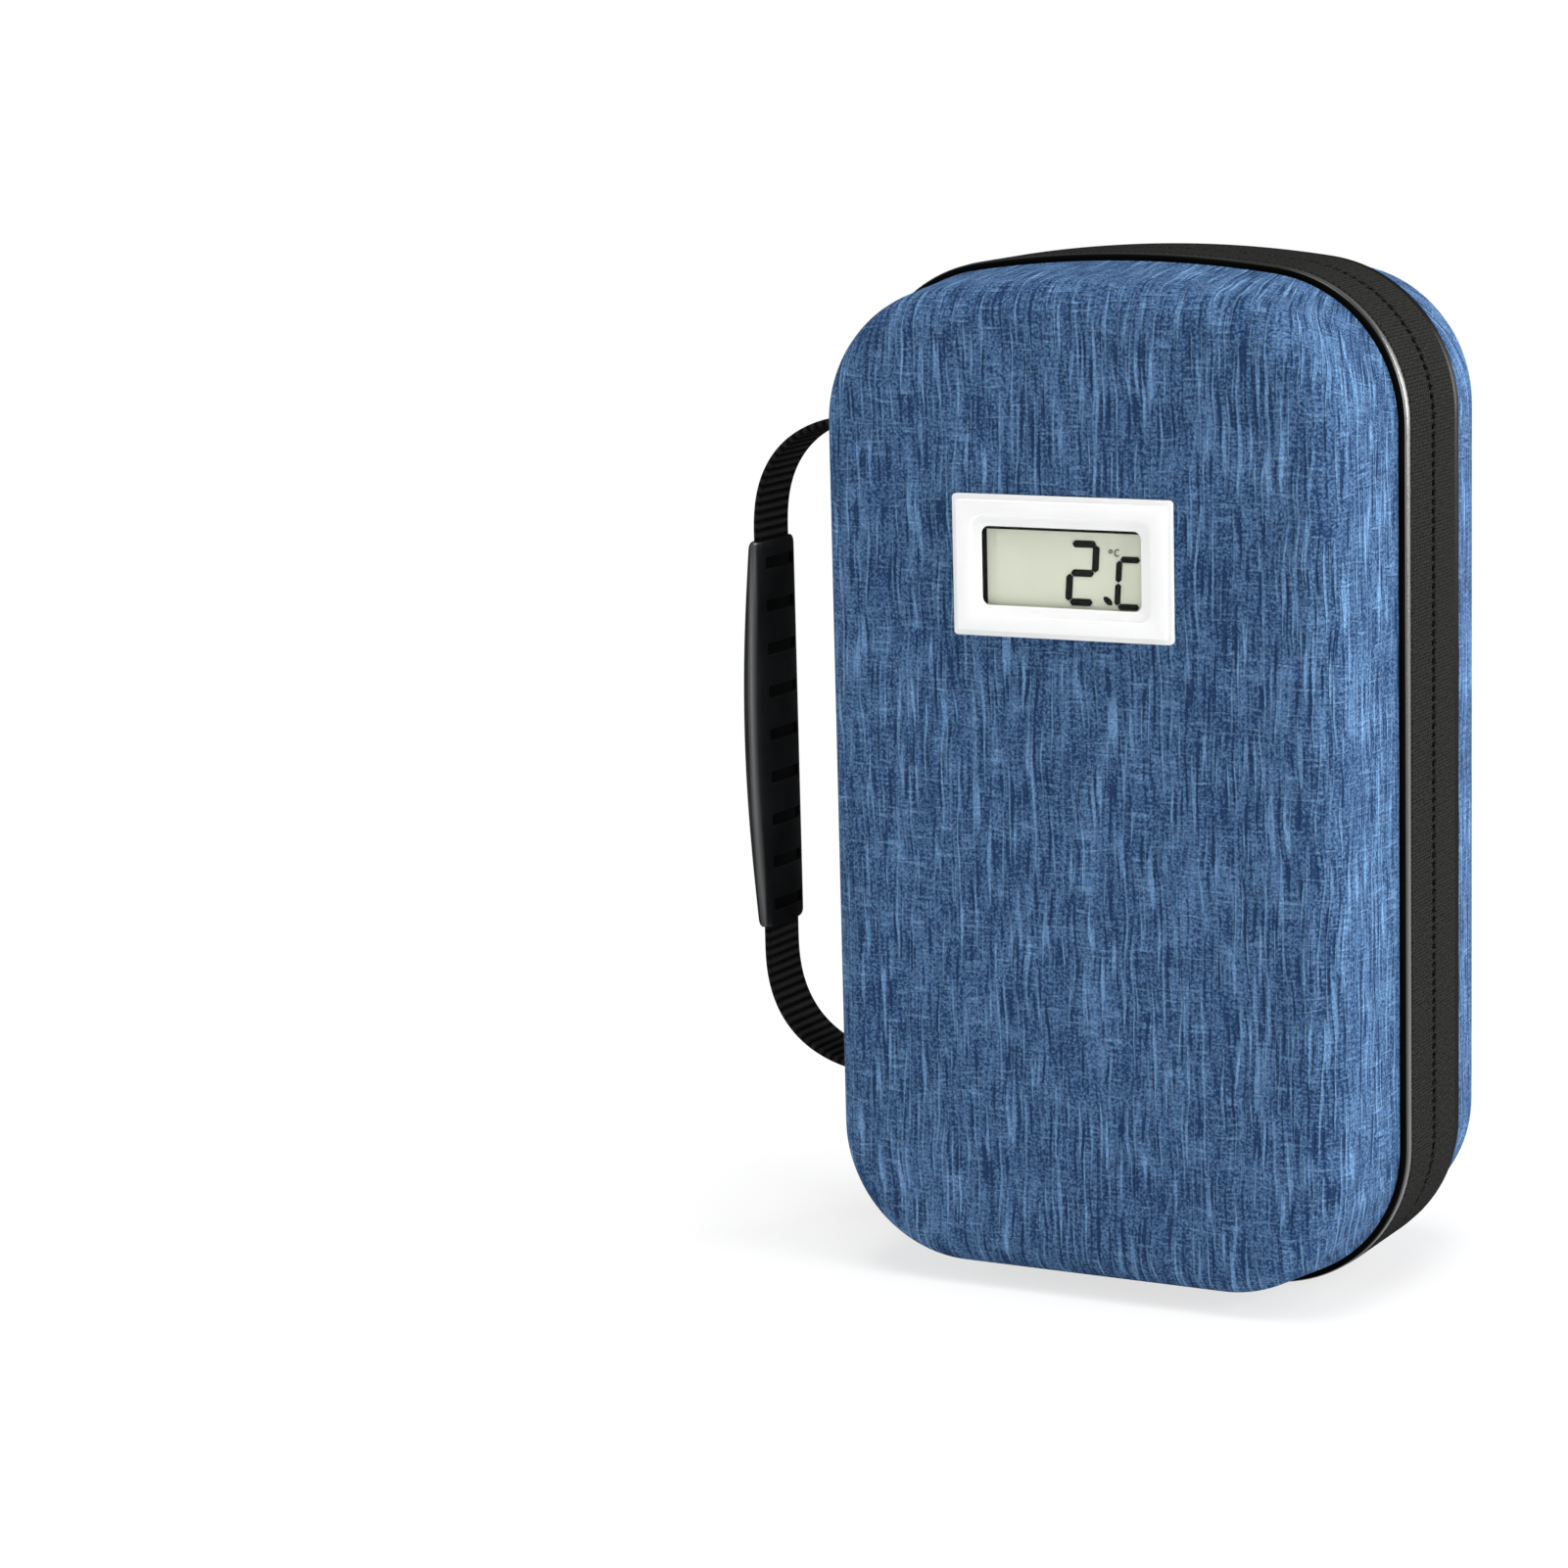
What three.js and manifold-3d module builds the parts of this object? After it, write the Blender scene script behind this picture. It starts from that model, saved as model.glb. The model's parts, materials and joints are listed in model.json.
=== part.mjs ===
// Insulated travel case for insulin pens: two cloth-faced moulded shells joined by a zip band and a
// two-crease spine, with a carrying handle, a panel thermometer, cold packs and pen loops.
// Millimetres. X runs to the right, Y to the back and Z up. The case stands on its zip band, and the origin
// is the middle of that band's underside, half way between the front face and the back face.
import * as THREE from "three";
import { mergeVertices } from "three/addons/utils/BufferGeometryUtils.js";
import Module from "manifold-3d";

const wasm = await Module();
wasm.setup();

// Clearance between pieces that touch, and how far a cutting tool runs past the face it cuts
const GAP = 0.3;
const CUT_PAST = 1;

// Outline of the shells' rims, seen from the front
const RIM_WIDTH = 118;
const RIM_HEIGHT = 209;
const CORNER_RADIUS = 30;
const TOP_CROWN = 2;

// Depths, front to back
const CASE_DEPTH = 79;
const ZIP_BAND = 31;
const BACK_DEPTH = 21;

// Moulded shells and their insulating linings
const SHELL_WALL = 3;
const EDGE_RADIUS = 8;
const DRAFT_DEGREES = 6;
const LINING_WALL = 4;
const LINING_EDGE_RADIUS = 4;
const COLLAR_SPACING = 4;

// Piping, zip tapes and zip coils
const PIPING_WIDTH = 2.7;
const PIPING_CHAMFER = 0.6;
const TAPE_THICKNESS = 1;
const TAPE_PROUD = 1.6;
const PIPING_BELOW_TAPE = 0.1;
const TAPE_SLIT = 0.8;
const COIL_WIDTH = 1.7;
const COIL_HEIGHT = 1.4;

// Spine on the left side
const CREASE = 3;
const SPINE_THICKNESS = 1.6;
const SPINE_CORNER = 2;
const SPINE_LINING_THICKNESS = 1;

// Handle
const STRAP_WIDTH = 13.5;
const STRAP_THICKNESS = 1.4;
const STRAP_INSET = 2;
const STRAP_TAB = 14;
const HANDLE_REACH = 30.8;
const STRAP_STRAIGHT_END = 1;
const STRAP_BEND_SOFTNESS = 0.8;
const GRIP_LENGTH = 84.6;
const GRIP_ABOVE_MIDDLE = 1.4;
const GRIP_WIDTH = 17.5;
const GRIP_THICKNESS = 8.5;
const GRIP_END_THICKNESS = 5;
const GRIP_END_ROUNDING = 1.6;
const GRIP_FACE_SOFTNESS = 0.7;
const GRIP_SIDE_SOFTNESS = 0.6;
const GROOVE_COUNT = 9;
const GROOVE_PITCH = 9.4;
const GROOVE_HEIGHT = 1.8;
const GROOVE_DEPTH = 0.8;
const GROOVE_EDGE = 1.4;

// Zip slider and pull tab
const SLIDER_ANGLE = 190;
const SLIDER_LENGTH = 11.5;
const SLIDER_WIDTH = 9.5;
const SLIDER_TAIL_WIDTH = 6.6;
const SLIDER_PLATE = 1.3;
const SLIDER_CORNER = 1.2;
const LUG_THICKNESS = 1.2;
const LUG_MARGIN = 1.1;
const LUG_FOOT = 5.8;
const PIN_RADIUS = 0.7;
const PIN_HEIGHT = 2.6;
const PULL_EYE_WIDTH = 2.4;
const PULL_EYE_WALL = 1.1;
const PULL_CLEARANCE = 0.35;
const PULL_LENGTH = 13;
const PULL_WIDTH = 7.5;
const PULL_THICKNESS = 1.5;
const PULL_HOLE_RADIUS = 1.6;

// Panel thermometer
const THERMOMETER_X = -1.3;
const THERMOMETER_Z = 151.6;
const BEZEL_WIDTH = 48;
const BEZEL_HEIGHT = 28.6;
const BEZEL_FLANGE = 1.3;
const BEZEL_RAISE = 0.8;
const BEZEL_STEP = 1.1;
const BEZEL_CORNER = 0.8;
const HOUSING_SIDE = 1.3;
const HOUSING_WALL = 1.2;
const WINDOW_WIDTH = 35;
const WINDOW_HEIGHT = 16;
const WINDOW_CORNER = 1.6;
const WINDOW_LEDGE = 1.5;
const WINDOW_THICKNESS = 0.8;
const RECESS_BORDER = 2.2;
const RECESS_DEPTH = 0.7;
const CLIP_HEIGHT = 8;
const CLIP_REACH = 1;
const CLIP_LENGTH = 3;
const CUTOUT_CLIP_ROOM = 2;
const GLASS_BORDER = 1.2;
const GLASS_THICKNESS = 1.8;
const ZEBRA_LENGTH = 30;
const ZEBRA_WIDTH = 2;
const ZEBRA_THICKNESS = 2.2;
const BOARD_THICKNESS = 1;
const CELL_RADIUS = 5.8;
const CELL_THICKNESS = 5.4;
const CELL_STEP = 0.7;
const CELL_SPACING = 0.6;
const CONTACT_THICKNESS = 0.4;
const CONTACT_WIDTH = 6;
const COVER_THICKNESS = 1.2;
const DOOR_HEIGHT = 14;
const DOOR_GROOVE = 0.8;
const DOOR_GROOVE_COUNT = 4;
const DOOR_GROOVE_PITCH = 2;
const BEAD_RADIUS = 1.2;
const BEAD_LENGTH = 4;
const LEAD_RADIUS = 0.5;
const BEAD_INSET = 4;
const VENT_WIDTH = 1.2;
const VENT_HEIGHT = 9;
const VENT_PITCH = 2.6;
const VENT_COUNT = 2;

// Cold packs, pocket, divider and pen bands
const PACK_WIDTH = 56;
const PACK_LENGTH = 161;
const PACK_THICKNESS = 11.4;
const PACK_CORNER = 22;
const PACK_RIM = 5;
const PACK_RIM_THICKNESS = 1.4;
const PACK_SHOULDER = 11;
const PACK_SHOULDER_FILL = 0.8;
const PACK_WAIST = 1.2;
const MESH_THICKNESS = 0.8;
const POCKET_DROP = 58;
const BINDING_HEIGHT = 7;
const BINDING_WALL = 1;
const DIVIDER_THICKNESS = 2.5;
const BAND_THICKNESS = 1.2;
const BAND_HEIGHT = 22;
const BAND_SPREAD = 92;
const LOOP_WIDTH = 19;
const LOOP_HEIGHT = 17;
const LOOP_COUNT = 3;
const LOOP_SPACING = 8;

// Number of straight steps in each round stretch
const CORNER_STEPS = 8;
const CROWN_STEPS = 6;
const EDGE_STEPS = 4;
const ROUND_STEPS = 8;
const SMALL_ROUND_STEPS = 4;

// Places worked out from the driving dimensions
const DRAFT = THREE.MathUtils.degToRad(DRAFT_DEGREES);
const FRONT_DEPTH = CASE_DEPTH - ZIP_BAND - BACK_DEPTH;
const FRONT_FACE_Y = -CASE_DEPTH / 2;
const SPLIT_Y = FRONT_FACE_Y + FRONT_DEPTH + ZIP_BAND / 2;
const RIM_BASE = TAPE_PROUD;
const CORNER_X = RIM_WIDTH / 2 - CORNER_RADIUS;
const BOTTOM_CORNER_Z = RIM_BASE + CORNER_RADIUS;
const TOP_CORNER_Z = RIM_BASE + RIM_HEIGHT - TOP_CROWN - CORNER_RADIUS;
const CROWN_ANGLE = 2 * Math.atan(TOP_CROWN / CORNER_X);
const CROWN_RADIUS = CORNER_RADIUS + CORNER_X / Math.sin(CROWN_ANGLE);
const CROWN_Z = RIM_BASE + RIM_HEIGHT - CROWN_RADIUS;
const LINING_OUTSIDE = SHELL_WALL + GAP;
const LINING_INSIDE = LINING_OUTSIDE + LINING_WALL;
const PIPING_HALF = PIPING_WIDTH / 2;
const PIPING_OFFSET = TAPE_PROUD - PIPING_BELOW_TAPE - PIPING_HALF;
const TAPE_OUTER_EDGE = ZIP_BAND / 2 - PIPING_WIDTH - 2 * GAP;
const TAPE_UNDERSIDE = TAPE_PROUD - TAPE_THICKNESS;
const HINGE_FROM_SPLIT = ZIP_BAND / 2 - GAP - PIPING_WIDTH - CREASE / 2;
const SPINE_HALF_WIDTH = HINGE_FROM_SPLIT - CREASE / 2;

const FRONT = -1;
const BACK = 1;

const blueCloth = surface("#41618a", 0.9, 0);
const blackCloth = surface("#343534", 0.9, 0);
const blackPlastic = surface("#1d1e1d", 0.45, 0);
const blackMetal = surface("#2a2b2c", 0.4, 0.8);
const silverFoil = surface("#b9bdc0", 0.35, 0.3);
const blackMesh = surface("#202224", 0.9, 0);
const packFilm = surface("#41405a", 0.5, 0);
const whitePlastic = surface("#f4f5f3", 0.35, 0);
const clearPlastic = surface("#e8efee", 0.1, 0);
const displayGlass = surface("#d5d9c6", 0.2, 0);
const blackRubber = surface("#161616", 0.7, 0);
const greenBoard = surface("#1f5a38", 0.5, 0);
const steel = surface("#b4b6b8", 0.3, 1);

function surface(color, roughness, metalness) {
  return new THREE.MeshStandardMaterial({ color, roughness, metalness });
}

// Solids: booleans on closed meshes

function toSolid(geometry) {
  const bare = geometry.clone();
  bare.deleteAttribute("normal");
  bare.deleteAttribute("uv");
  const merged = mergeVertices(bare);
  const vertProperties = new Float32Array(merged.attributes.position.array);
  const triVerts = new Uint32Array(merged.index.array);
  return new wasm.Manifold(new wasm.Mesh({ numProp: 3, vertProperties, triVerts }));
}

function toGeometry(solid) {
  const { vertProperties, triVerts } = solid.getMesh();
  const geometry = new THREE.BufferGeometry();
  geometry.setAttribute("position", new THREE.BufferAttribute(vertProperties, 3));
  geometry.setIndex(new THREE.BufferAttribute(triVerts, 1));
  return geometry;
}

function cut(geometry, tools) {
  return toGeometry(tools.reduce((solid, tool) => solid.subtract(toSolid(tool)), toSolid(geometry)));
}

function join(geometries) {
  return toGeometry(geometries.map(toSolid).reduce((solid, next) => solid.add(next)));
}

// Shapes

function box(x0, x1, y0, y1, z0, z1) {
  const geometry = new THREE.BoxGeometry(x1 - x0, y1 - y0, z1 - z0);
  return geometry.translate((x0 + x1) / 2, (y0 + y1) / 2, (z0 + z1) / 2);
}

function roundedRectangle(width, height, radius) {
  const [w, h] = [width / 2 - radius, height / 2 - radius];
  const shape = new THREE.Shape();
  shape.absarc(w, h, radius, 0, Math.PI / 2);
  shape.absarc(-w, h, radius, Math.PI / 2, Math.PI);
  shape.absarc(-w, -h, radius, Math.PI, Math.PI * 1.5);
  shape.absarc(w, -h, radius, Math.PI * 1.5, Math.PI * 2);
  shape.closePath();
  return shape;
}

function polygon(points) {
  return new THREE.Shape(points.map(([u, v]) => new THREE.Vector2(u, v)));
}

// Extrusions: a shape drawn in two axes, given a thickness from one place to another along the third

function extrude(shape, depth, steps) {
  return new THREE.ExtrudeGeometry(shape, { depth, bevelEnabled: false, curveSegments: steps });
}

// Drawn as x right and z up, from y0 to y1
function plateAlongY(shape, y0, y1, steps = SMALL_ROUND_STEPS) {
  return extrude(shape, y1 - y0, steps).rotateX(Math.PI / 2).translate(0, y1, 0);
}

// Drawn as y right and z up, from x0 to x1
function plateAlongX(shape, x0, x1, steps = SMALL_ROUND_STEPS) {
  return extrude(shape, x1 - x0, steps).rotateX(Math.PI / 2).rotateZ(Math.PI / 2).translate(x0, 0, 0);
}

// Drawn as x right and y up, from z0 to z1
function plateAlongZ(shape, z0, z1, steps = SMALL_ROUND_STEPS) {
  return extrude(shape, z1 - z0, steps).translate(0, 0, z0);
}

// A closed skin through rings of equally many points. Its ends are capped, or its last ring meets its first.
function loft(rings, endless = false) {
  const count = rings[0].length;
  const index = [];
  const spans = endless ? rings.length : rings.length - 1;
  for (let i = 0; i < spans; i++) {
    const a = i * count;
    const b = ((i + 1) % rings.length) * count;
    for (let j = 0; j < count; j++) {
      const k = (j + 1) % count;
      index.push(a + j, b + j, a + k, a + k, b + j, b + k);
    }
  }
  if (!endless) {
    const last = (rings.length - 1) * count;
    for (let j = 1; j < count - 1; j++) {
      index.push(0, j, j + 1, last, last + j + 1, last + j);
    }
  }
  const geometry = new THREE.BufferGeometry();
  geometry.setAttribute("position", new THREE.Float32BufferAttribute(rings.flat(2), 3));
  geometry.setIndex(signedVolume(rings.flat(), index) < 0 ? index.reverse() : index);
  return geometry;
}

function signedVolume(points, index) {
  let volume = 0;
  for (let i = 0; i < index.length; i += 3) {
    const [a, b, c] = [points[index[i]], points[index[i + 1]], points[index[i + 2]]];
    volume += a[0] * (b[1] * c[2] - b[2] * c[1]);
    volume += a[1] * (b[2] * c[0] - b[0] * c[2]);
    volume += a[2] * (b[0] * c[1] - b[1] * c[0]);
  }
  return volume;
}

// A profile of [radius, height] points turned about the y axis
function lathe(profile, steps) {
  return new THREE.LatheGeometry(profile.map(([r, y]) => new THREE.Vector2(r, y)), steps);
}

function arc(x, z, radius, from, to, steps) {
  return Array.from({ length: steps + 1 }, (_, i) => {
    const angle = from + ((to - from) * i) / steps;
    return [x + radius * Math.cos(angle), z + radius * Math.sin(angle)];
  });
}

// The case's outline at an offset from the rim, outwards positive. It runs from the top of the left side
// over the top, down the right side and along the bottom to the foot of the left side.
function outline(offset) {
  const radius = CORNER_RADIUS + offset;
  const quarter = Math.PI / 2;
  const [crownLeft, crownRight] = [quarter + CROWN_ANGLE, quarter - CROWN_ANGLE];
  const topLeft = arc(-CORNER_X, TOP_CORNER_Z, radius, Math.PI, crownLeft, CORNER_STEPS);
  const crown = arc(0, CROWN_Z, CROWN_RADIUS + offset, crownLeft, crownRight, CROWN_STEPS);
  const topRight = arc(CORNER_X, TOP_CORNER_Z, radius, crownRight, 0, CORNER_STEPS);
  const bottomRight = arc(CORNER_X, BOTTOM_CORNER_Z, radius, 0, -quarter, CORNER_STEPS);
  const bottomLeft = arc(-CORNER_X, BOTTOM_CORNER_Z, radius, -quarter, -Math.PI, CORNER_STEPS);
  return [...topLeft, ...crown.slice(1, -1), ...topRight, ...bottomRight, ...bottomLeft];
}

// A ring of the outline, inset from the rim, at a depth y
function ringAt(inset, y) {
  return outline(-inset).map(([x, z]) => [x, y, z]);
}

// A section given as [offset, y] points, swept along the outline
function sweepOutline(section, endless) {
  const paths = section.map(([offset]) => outline(offset));
  const rings = paths[0].map((_, i) => section.map(([, y], j) => [paths[j][i][0], y, paths[j][i][1]]));
  return loft(rings, endless);
}

function rimY(side) {
  return SPLIT_Y + (side * ZIP_BAND) / 2;
}

// Wall of a tray as [inset, distance from the rim] points: a drafted side and a rounded edge
function trayWall(inset, depth, radius) {
  const straight = depth - radius * (1 - Math.sin(DRAFT));
  const lean = straight * Math.tan(DRAFT);
  const centre = [inset + lean + radius * Math.cos(DRAFT), depth - radius];
  const edge = Array.from({ length: EDGE_STEPS + 1 }, (_, i) => {
    const angle = DRAFT + ((Math.PI / 2 - DRAFT) * i) / EDGE_STEPS;
    return [centre[0] - radius * Math.cos(angle), centre[1] + radius * Math.sin(angle)];
  });
  return [[inset, 0], ...edge];
}

// An open tray between an outer and an inner wall, with its mouth towards the zip
function tray(side, outer, inner) {
  const profile = [...outer.toReversed(), ...inner];
  return loft(profile.map(([inset, distance]) => ringAt(inset, rimY(side) + side * distance)));
}

// Shells, linings, piping and zip

function shell(side, depth) {
  const outer = trayWall(0, depth, EDGE_RADIUS);
  const inner = trayWall(SHELL_WALL, depth - SHELL_WALL, EDGE_RADIUS - SHELL_WALL);
  return tray(side, outer, inner);
}

function lining(side, depth) {
  const collar = (ZIP_BAND - COLLAR_SPACING) / 2;
  const outsideRadius = EDGE_RADIUS - SHELL_WALL;
  const outer = trayWall(LINING_OUTSIDE, depth - LINING_OUTSIDE, outsideRadius);
  const inner = trayWall(LINING_INSIDE, depth - LINING_INSIDE, LINING_EDGE_RADIUS);
  return tray(side, [[LINING_OUTSIDE, -collar], ...outer], [[LINING_INSIDE, -collar], ...inner]);
}

// The piping is pressed flat in the mould, so its section is a square with chamfered corners
function piping(side) {
  const centreY = rimY(side) - side * (GAP + PIPING_HALF);
  const [r, c] = [PIPING_HALF, PIPING_HALF - PIPING_CHAMFER];
  const section = [[r, c], [c, r], [-c, r], [-r, c], [-r, -c], [-c, -r], [c, -r], [r, -c]];
  return sweepOutline(section.map(([u, v]) => [PIPING_OFFSET + u, centreY + v]), true);
}

function zipTape(side) {
  const [near, far] = [SPLIT_Y + (side * TAPE_SLIT) / 2, SPLIT_Y + side * TAPE_OUTER_EDGE];
  const [top, under] = [TAPE_PROUD, TAPE_UNDERSIDE];
  return sweepOutline([[top, near], [top, far], [under, far], [under, near]], false);
}

// The coil is sewn to the inside of its tape, so it shows only in the slit between the two tapes
function zipCoil(side) {
  const near = SPLIT_Y + (side * GAP) / 2;
  const far = near + side * COIL_WIDTH;
  const top = TAPE_UNDERSIDE - GAP;
  const under = top - COIL_HEIGHT;
  return sweepOutline([[top, near], [top, far], [under, far], [under, near]], false);
}

// Spine and handle

const LEFT_RIM_X = -RIM_WIDTH / 2;
const SPINE_BOTTOM = BOTTOM_CORNER_Z + GAP;
const SPINE_TOP = TOP_CORNER_Z - GAP;
const SPINE_MIDDLE = (SPINE_BOTTOM + SPINE_TOP) / 2;
const SPINE_OUTSIDE_X = LEFT_RIM_X - TAPE_PROUD;
const SPINE_INSIDE_X = SPINE_OUTSIDE_X + SPINE_THICKNESS;
const SLIT_ABOVE_MIDDLE = (SPINE_TOP - SPINE_BOTTOM) / 2 - STRAP_INSET;
const STRAP_TAB_X = SPINE_INSIDE_X + GAP + STRAP_THICKNESS / 2;
const SPINE_LINING_X = SPINE_INSIDE_X + STRAP_THICKNESS + 2 * GAP;
const GRIP_X = SPINE_OUTSIDE_X - HANDLE_REACH;

function spinePanel() {
  const shape = roundedRectangle(2 * SPINE_HALF_WIDTH, SPINE_TOP - SPINE_BOTTOM, SPINE_CORNER);
  const [w, h] = [STRAP_WIDTH / 2 + GAP, STRAP_THICKNESS / 2 + GAP];
  const slits = [-SLIT_ABOVE_MIDDLE, SLIT_ABOVE_MIDDLE].map((z) => {
    return box(SPINE_OUTSIDE_X - CUT_PAST, SPINE_INSIDE_X + CUT_PAST, -w, w, z - h, z + h);
  });
  const panel = cut(plateAlongX(shape, SPINE_OUTSIDE_X, SPINE_INSIDE_X), slits);
  return panel.translate(0, SPLIT_Y, SPINE_MIDDLE);
}

function spineLining() {
  const shape = roundedRectangle(2 * HINGE_FROM_SPLIT, SPINE_TOP - SPINE_BOTTOM, SPINE_CORNER);
  const plate = plateAlongX(shape, SPINE_LINING_X, SPINE_LINING_X + SPINE_LINING_THICKNESS);
  return plate.translate(0, SPLIT_Y, SPINE_MIDDLE);
}

// Upper half of the strap's centre line as [x, height above the handle's middle], from the grip to the tab
// inside the spine
function strapHalf() {
  const leave = SPINE_OUTSIDE_X - GAP;
  const straight = GRIP_LENGTH / 2 + GRIP_ABOVE_MIDDLE + STRAP_STRAIGHT_END;
  const rise = SLIT_ABOVE_MIDDLE - straight;
  const bend = Array.from({ length: ROUND_STEPS + 1 }, (_, i) => {
    const angle = (Math.PI / 2) * (1 - i / ROUND_STEPS);
    const out = soften(Math.sin(angle), STRAP_BEND_SOFTNESS);
    const up = soften(Math.cos(angle), STRAP_BEND_SOFTNESS);
    return [leave + (GRIP_X - leave) * out, straight + rise * up];
  });
  return [...bend, [STRAP_TAB_X, SLIT_ABOVE_MIDDLE], [STRAP_TAB_X, SLIT_ABOVE_MIDDLE - STRAP_TAB]];
}

// Both sides of a centre line, joined into one closed shape with mitred corners
function ribbon(centre, thickness) {
  const line = centre.map(([u, v]) => new THREE.Vector2(u, v));
  const normals = line.slice(1).map((point, i) => {
    const along = point.clone().sub(line[i]).normalize();
    return new THREE.Vector2(-along.y, along.x);
  });
  const edge = (side) => line.map((point, i) => {
    const [before, after] = [normals[Math.max(i - 1, 0)], normals[Math.min(i, normals.length - 1)]];
    const middle = before.clone().add(after).normalize();
    return point.clone().addScaledVector(middle, (side * thickness) / 2 / middle.dot(after));
  });
  return new THREE.Shape([...edge(1), ...edge(-1).reverse()]);
}

function handleStrap() {
  const upper = strapHalf();
  const lower = upper.map(([x, z]) => [x, -z]).reverse();
  const shape = ribbon([...lower, ...upper], STRAP_THICKNESS);
  return plateAlongY(shape, -STRAP_WIDTH / 2, STRAP_WIDTH / 2).translate(0, SPLIT_Y, SPINE_MIDDLE);
}

// A sine or cosine drawn towards 1, which squares off the round that it traces
function soften(value, power) {
  return Math.sign(value) * Math.abs(value) ** power;
}

// A soft-cornered section: flat towards the case, with a crown on the outside
function gripSection(height, outside, inside, halfWidth) {
  return Array.from({ length: 2 * ROUND_STEPS }, (_, i) => {
    const angle = (Math.PI * (i + 0.5)) / ROUND_STEPS;
    const reach = Math.sin(angle) > 0 ? outside : inside;
    const [x, y] = [soften(Math.sin(angle), GRIP_FACE_SOFTNESS), soften(Math.cos(angle), GRIP_SIDE_SOFTNESS)];
    return [-reach * x, halfWidth * y, height];
  });
}

function handleGrip() {
  const half = GRIP_LENGTH / 2;
  const inside = GRIP_END_THICKNESS / 2;
  const heights = arc(0, 0, half - GRIP_END_ROUNDING, Math.PI, 0, ROUND_STEPS).map(([z]) => z);
  const crown = (z) => (GRIP_THICKNESS - GRIP_END_THICKNESS) * (1 - (z / half) ** 2);
  const rings = heights.map((z) => gripSection(z, inside + crown(z), inside, GRIP_WIDTH / 2));
  const ends = [-half, half].map((z) => {
    const shrink = GRIP_END_ROUNDING / 2;
    return gripSection(z, inside - shrink / 2, inside - shrink / 2, GRIP_WIDTH / 2 - shrink);
  });
  const body = loft([ends[0], ...rings, ends[1]]);
  const slotX = STRAP_THICKNESS / 2 + GAP;
  const slotY = STRAP_WIDTH / 2 + GAP;
  const tools = [box(-slotX, slotX, -slotY, slotY, -GRIP_LENGTH, GRIP_LENGTH)];
  for (let i = 0; i < GROOVE_COUNT; i++) {
    const z = (i - (GROOVE_COUNT - 1) / 2) * GROOVE_PITCH;
    const [y, h] = [GRIP_WIDTH / 2 - GROOVE_EDGE, GROOVE_HEIGHT / 2];
    tools.push(box(inside - GROOVE_DEPTH, inside + CUT_PAST, -y, y, z - h, z + h));
  }
  return cut(body, tools).translate(GRIP_X, SPLIT_Y, SPINE_MIDDLE + GRIP_ABOVE_MIDDLE);
}

// Zip slider and pull tab. The slider is drawn with x along the zip band's outward direction at the origin
// of the bottom left corner's arc, and turned to its place on that arc.

const SLIDER_UNDERSIDE = CORNER_RADIUS + TAPE_PROUD + GAP;
const PIN_X = SLIDER_UNDERSIDE + SLIDER_PLATE + PIN_HEIGHT;
const SLIDER_TURN = THREE.MathUtils.degToRad(SLIDER_ANGLE);

function zipSlider() {
  const [w, t, l] = [SLIDER_WIDTH / 2, SLIDER_TAIL_WIDTH / 2, SLIDER_LENGTH / 2];
  const c = SLIDER_CORNER;
  const shield = polygon([
    [-t + c, -l], [t - c, -l], [t, -l + c], [w, l - w], [w, l - c], [w - c, l],
    [-w + c, l], [-w, l - c], [-w, l - w], [-t, -l + c],
  ]);
  const plate = plateAlongX(shield, SLIDER_UNDERSIDE, SLIDER_UNDERSIDE + SLIDER_PLATE);
  const lugInside = PULL_EYE_WIDTH / 2 + GAP;
  const lugOutside = lugInside + LUG_THICKNESS;
  const lugFoot = SLIDER_UNDERSIDE + SLIDER_PLATE / 2;
  const lugRadius = PIN_RADIUS + LUG_MARGIN;
  const lugShape = new THREE.Shape();
  lugShape.moveTo(lugFoot, -LUG_FOOT / 2);
  lugShape.lineTo(PIN_X, -lugRadius);
  lugShape.absarc(PIN_X, 0, lugRadius, -Math.PI / 2, Math.PI / 2);
  lugShape.lineTo(lugFoot, LUG_FOOT / 2);
  lugShape.closePath();
  const lugSides = [[lugInside, lugOutside], [-lugOutside, -lugInside]];
  const lugs = lugSides.map(([y0, y1]) => plateAlongY(lugShape, y0, y1));
  const pinLength = 2 * lugOutside - LUG_THICKNESS;
  const pin = new THREE.CylinderGeometry(PIN_RADIUS, PIN_RADIUS, pinLength, ROUND_STEPS);
  return join([plate, ...lugs, pin.translate(PIN_X, 0, 0)]);
}

// Drawn with the pin's axis at the origin and the tab hanging down
function pullTab() {
  const bore = PIN_RADIUS + PULL_CLEARANCE;
  const eyeRadius = bore + PULL_EYE_WALL;
  const eye = new THREE.CylinderGeometry(eyeRadius, eyeRadius, PULL_EYE_WIDTH, 2 * ROUND_STEPS);
  const neck = PULL_EYE_WIDTH / 2;
  const shoulder = -eyeRadius - PULL_WIDTH / 4;
  const foot = -PULL_LENGTH + PULL_WIDTH / 2;
  const shape = new THREE.Shape();
  shape.moveTo(-neck, 0);
  shape.lineTo(-neck, -eyeRadius);
  shape.lineTo(-PULL_WIDTH / 2, shoulder);
  shape.absarc(0, foot, PULL_WIDTH / 2, Math.PI, 2 * Math.PI);
  shape.lineTo(PULL_WIDTH / 2, shoulder);
  shape.lineTo(neck, -eyeRadius);
  shape.lineTo(neck, 0);
  shape.closePath();
  const hole = new THREE.Path();
  hole.absarc(0, foot, PULL_HOLE_RADIUS, 0, 2 * Math.PI);
  shape.holes.push(hole);
  const blade = plateAlongX(shape, -PULL_THICKNESS / 2, PULL_THICKNESS / 2, ROUND_STEPS);
  const through = new THREE.CylinderGeometry(bore, bore, PULL_WIDTH, 2 * ROUND_STEPS);
  return cut(join([eye, blade]), [through]);
}

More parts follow.
